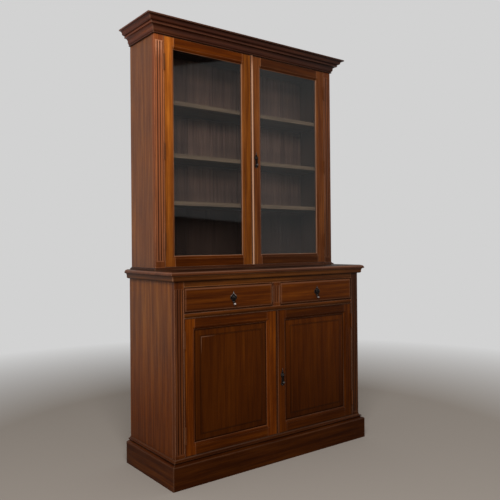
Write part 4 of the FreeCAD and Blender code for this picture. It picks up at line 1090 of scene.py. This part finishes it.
class BOOKCASE_OT_brass(bpy.types.Operator):
    """Finish the hinges, bolts, locks and shelf pegs"""
    bl_idname = "bookcase.brass"
    bl_label = "Brass fittings"

    def execute(self, context):
        dress(aged_brass("aged brass", context.scene.bookcase_fittings),
              "case_hinge_leaves", "upper_left_brassware", "upper_right_brassware",
              "lower_left_brassware", "lower_right_brassware", "upper_left_top_bolt",
              "upper_left_bottom_bolt", "lower_left_bolt", "upper_right_lock_bolt",
              "lower_right_lock_bolt", "shelf_pegs")
        return {"FINISHED"}


def set_matrix(thing, right, up, back, place):
    """Places a lamp or camera by its three axes and its point."""
    matrix = np.eye(4)
    matrix[:3] = np.column_stack([right, up, back, place])
    thing.matrix_world = mathutils.Matrix(matrix.tolist())


def lamp(name, place, aim, size, light):
    """Square lamp turned towards a point. A board that faces it gets light shares of full white:
    watts = light pi^2 distance^2."""
    data = bpy.data.lights.new(name, "AREA")
    data.shape = "SQUARE"
    data.size = size
    way = np.array(place) - np.array(aim)
    data.energy = light * math.pi ** 2 * float(np.sum(way ** 2))
    back = way / np.linalg.norm(way)
    right = np.cross([0.0, 0.0, 1.0], back)
    right = right / np.linalg.norm(right)
    set_matrix(put(name, data), right, np.cross(back, right), back, place)


class BOOKCASE_OT_studio(bpy.types.Operator):
    """Lay the floor, hang the lamps and place the camera"""
    bl_idname = "bookcase.studio"
    bl_label = "Studio"

    def execute(self, context):
        studio = context.scene.bookcase_studio
        floor = material_recipe("studio floor")
        x, y, _ = floor.place()
        fade = (x * x + y * y).power(0.5).between(1.6, 4.0) * seen_rays(floor)
        floor.finish(floor.layer(
            fade, floor.surface("ShaderNodeBsdfDiffuse", Color=studio.floor),
            floor.surface("ShaderNodeEmission", Color=studio.backdrop, Strength=1.0)))
        mesh = bpy.data.meshes.new("studio_floor")
        span = 30.0
        mesh.from_pydata([(-span, -span, 0.0), (span, -span, 0.0), (span, span, 0.0),
                          (-span, span, 0.0)], [], [(0, 1, 2, 3)])
        mesh.materials.append(floor.owner)
        put("studio_floor", mesh)

        context.scene.world = bpy.data.worlds.new("studio room")
        room = Recipe(context.scene.world)
        light = room.surface("ShaderNodeBackground", Color=(1.0, 0.99, 0.98), Strength=studio.sky)
        shown = room.surface("ShaderNodeBackground", Color=studio.backdrop, Strength=1.0)
        room.finish(room.layer(seen_rays(room), light, shown), "ShaderNodeOutputWorld")
        lamp("key lamp", (-2.6, -3.4, 3.5), (0.0, 0.0, 1.5), 2.4, studio.key)
        lamp("fill lamp", (4.2, -0.6, 2.4), (0.0, 0.0, 1.0), 2.0, studio.fill)

        data = bpy.data.cameras.new("camera")
        data.sensor_width = 36.0
        data.lens = studio.focal
        data.shift_y = studio.rise
        camera = put("camera", data)
        turn, tilt, roll = (np.array([math.sin(angle), math.cos(angle)])
                            for angle in (studio.turn, studio.tilt, studio.roll))
        ahead = np.array([*(turn * tilt[1]), tilt[0]])
        side = np.array([turn[1], -turn[0], 0.0])
        up = np.cross(side, ahead)
        set_matrix(camera, roll[1] * side + roll[0] * up, roll[1] * up - roll[0] * side, -ahead,
                   studio.eye)
        context.scene.camera = camera
        context.scene.view_settings.view_transform = "Standard"
        return {"FINISHED"}


class BOOKCASE_PT_dresser(bpy.types.Panel):
    """Lists what can be finished, and what it is finished with"""
    bl_idname = "BOOKCASE_PT_dresser"
    bl_label = "Bookcase"
    bl_space_type = "VIEW_3D"
    bl_region_type = "UI"
    bl_category = "Bookcase"

    def draw(self, context):
        for operator in OPERATORS:
            self.layout.operator(operator.bl_idname)
        for name in GROUPS:
            group = getattr(context.scene, name)
            box = self.layout.box()
            for entry in group.__annotations__:
                box.prop(group, entry)


OPERATORS = (BOOKCASE_OT_sides, BOOKCASE_OT_face_frames, BOOKCASE_OT_mouldings,
             BOOKCASE_OT_glazed_doors, BOOKCASE_OT_glass, BOOKCASE_OT_cupboard_doors,
             BOOKCASE_OT_drawers, BOOKCASE_OT_insides, BOOKCASE_OT_handles, BOOKCASE_OT_brass,
             BOOKCASE_OT_studio)
GROUPS = {"bookcase_woods": BookcaseWoods, "bookcase_fittings": BookcaseFittings,
          "bookcase_studio": BookcaseStudio}


def register():
    for kind in (*GROUPS.values(), *OPERATORS, BOOKCASE_PT_dresser):
        bpy.utils.register_class(kind)
    for name, kind in GROUPS.items():
        setattr(bpy.types.Scene, name, bpy.props.PointerProperty(type=kind))


def unregister():
    for name in GROUPS:
        delattr(bpy.types.Scene, name)
    for kind in (BOOKCASE_PT_dresser, *reversed(OPERATORS), *reversed(tuple(GROUPS.values()))):
        bpy.utils.unregister_class(kind)


def main():
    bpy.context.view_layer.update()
    register()
    bpy.ops.bookcase.sides()
    bpy.ops.bookcase.face_frames()
    bpy.ops.bookcase.mouldings()
    bpy.ops.bookcase.glazed_doors()
    bpy.ops.bookcase.glass()
    bpy.ops.bookcase.cupboard_doors()
    bpy.ops.bookcase.drawers()
    bpy.ops.bookcase.insides()
    bpy.ops.bookcase.handles()
    bpy.ops.bookcase.brass()
    bpy.ops.bookcase.studio()


if __name__ == "__main__":
    main()
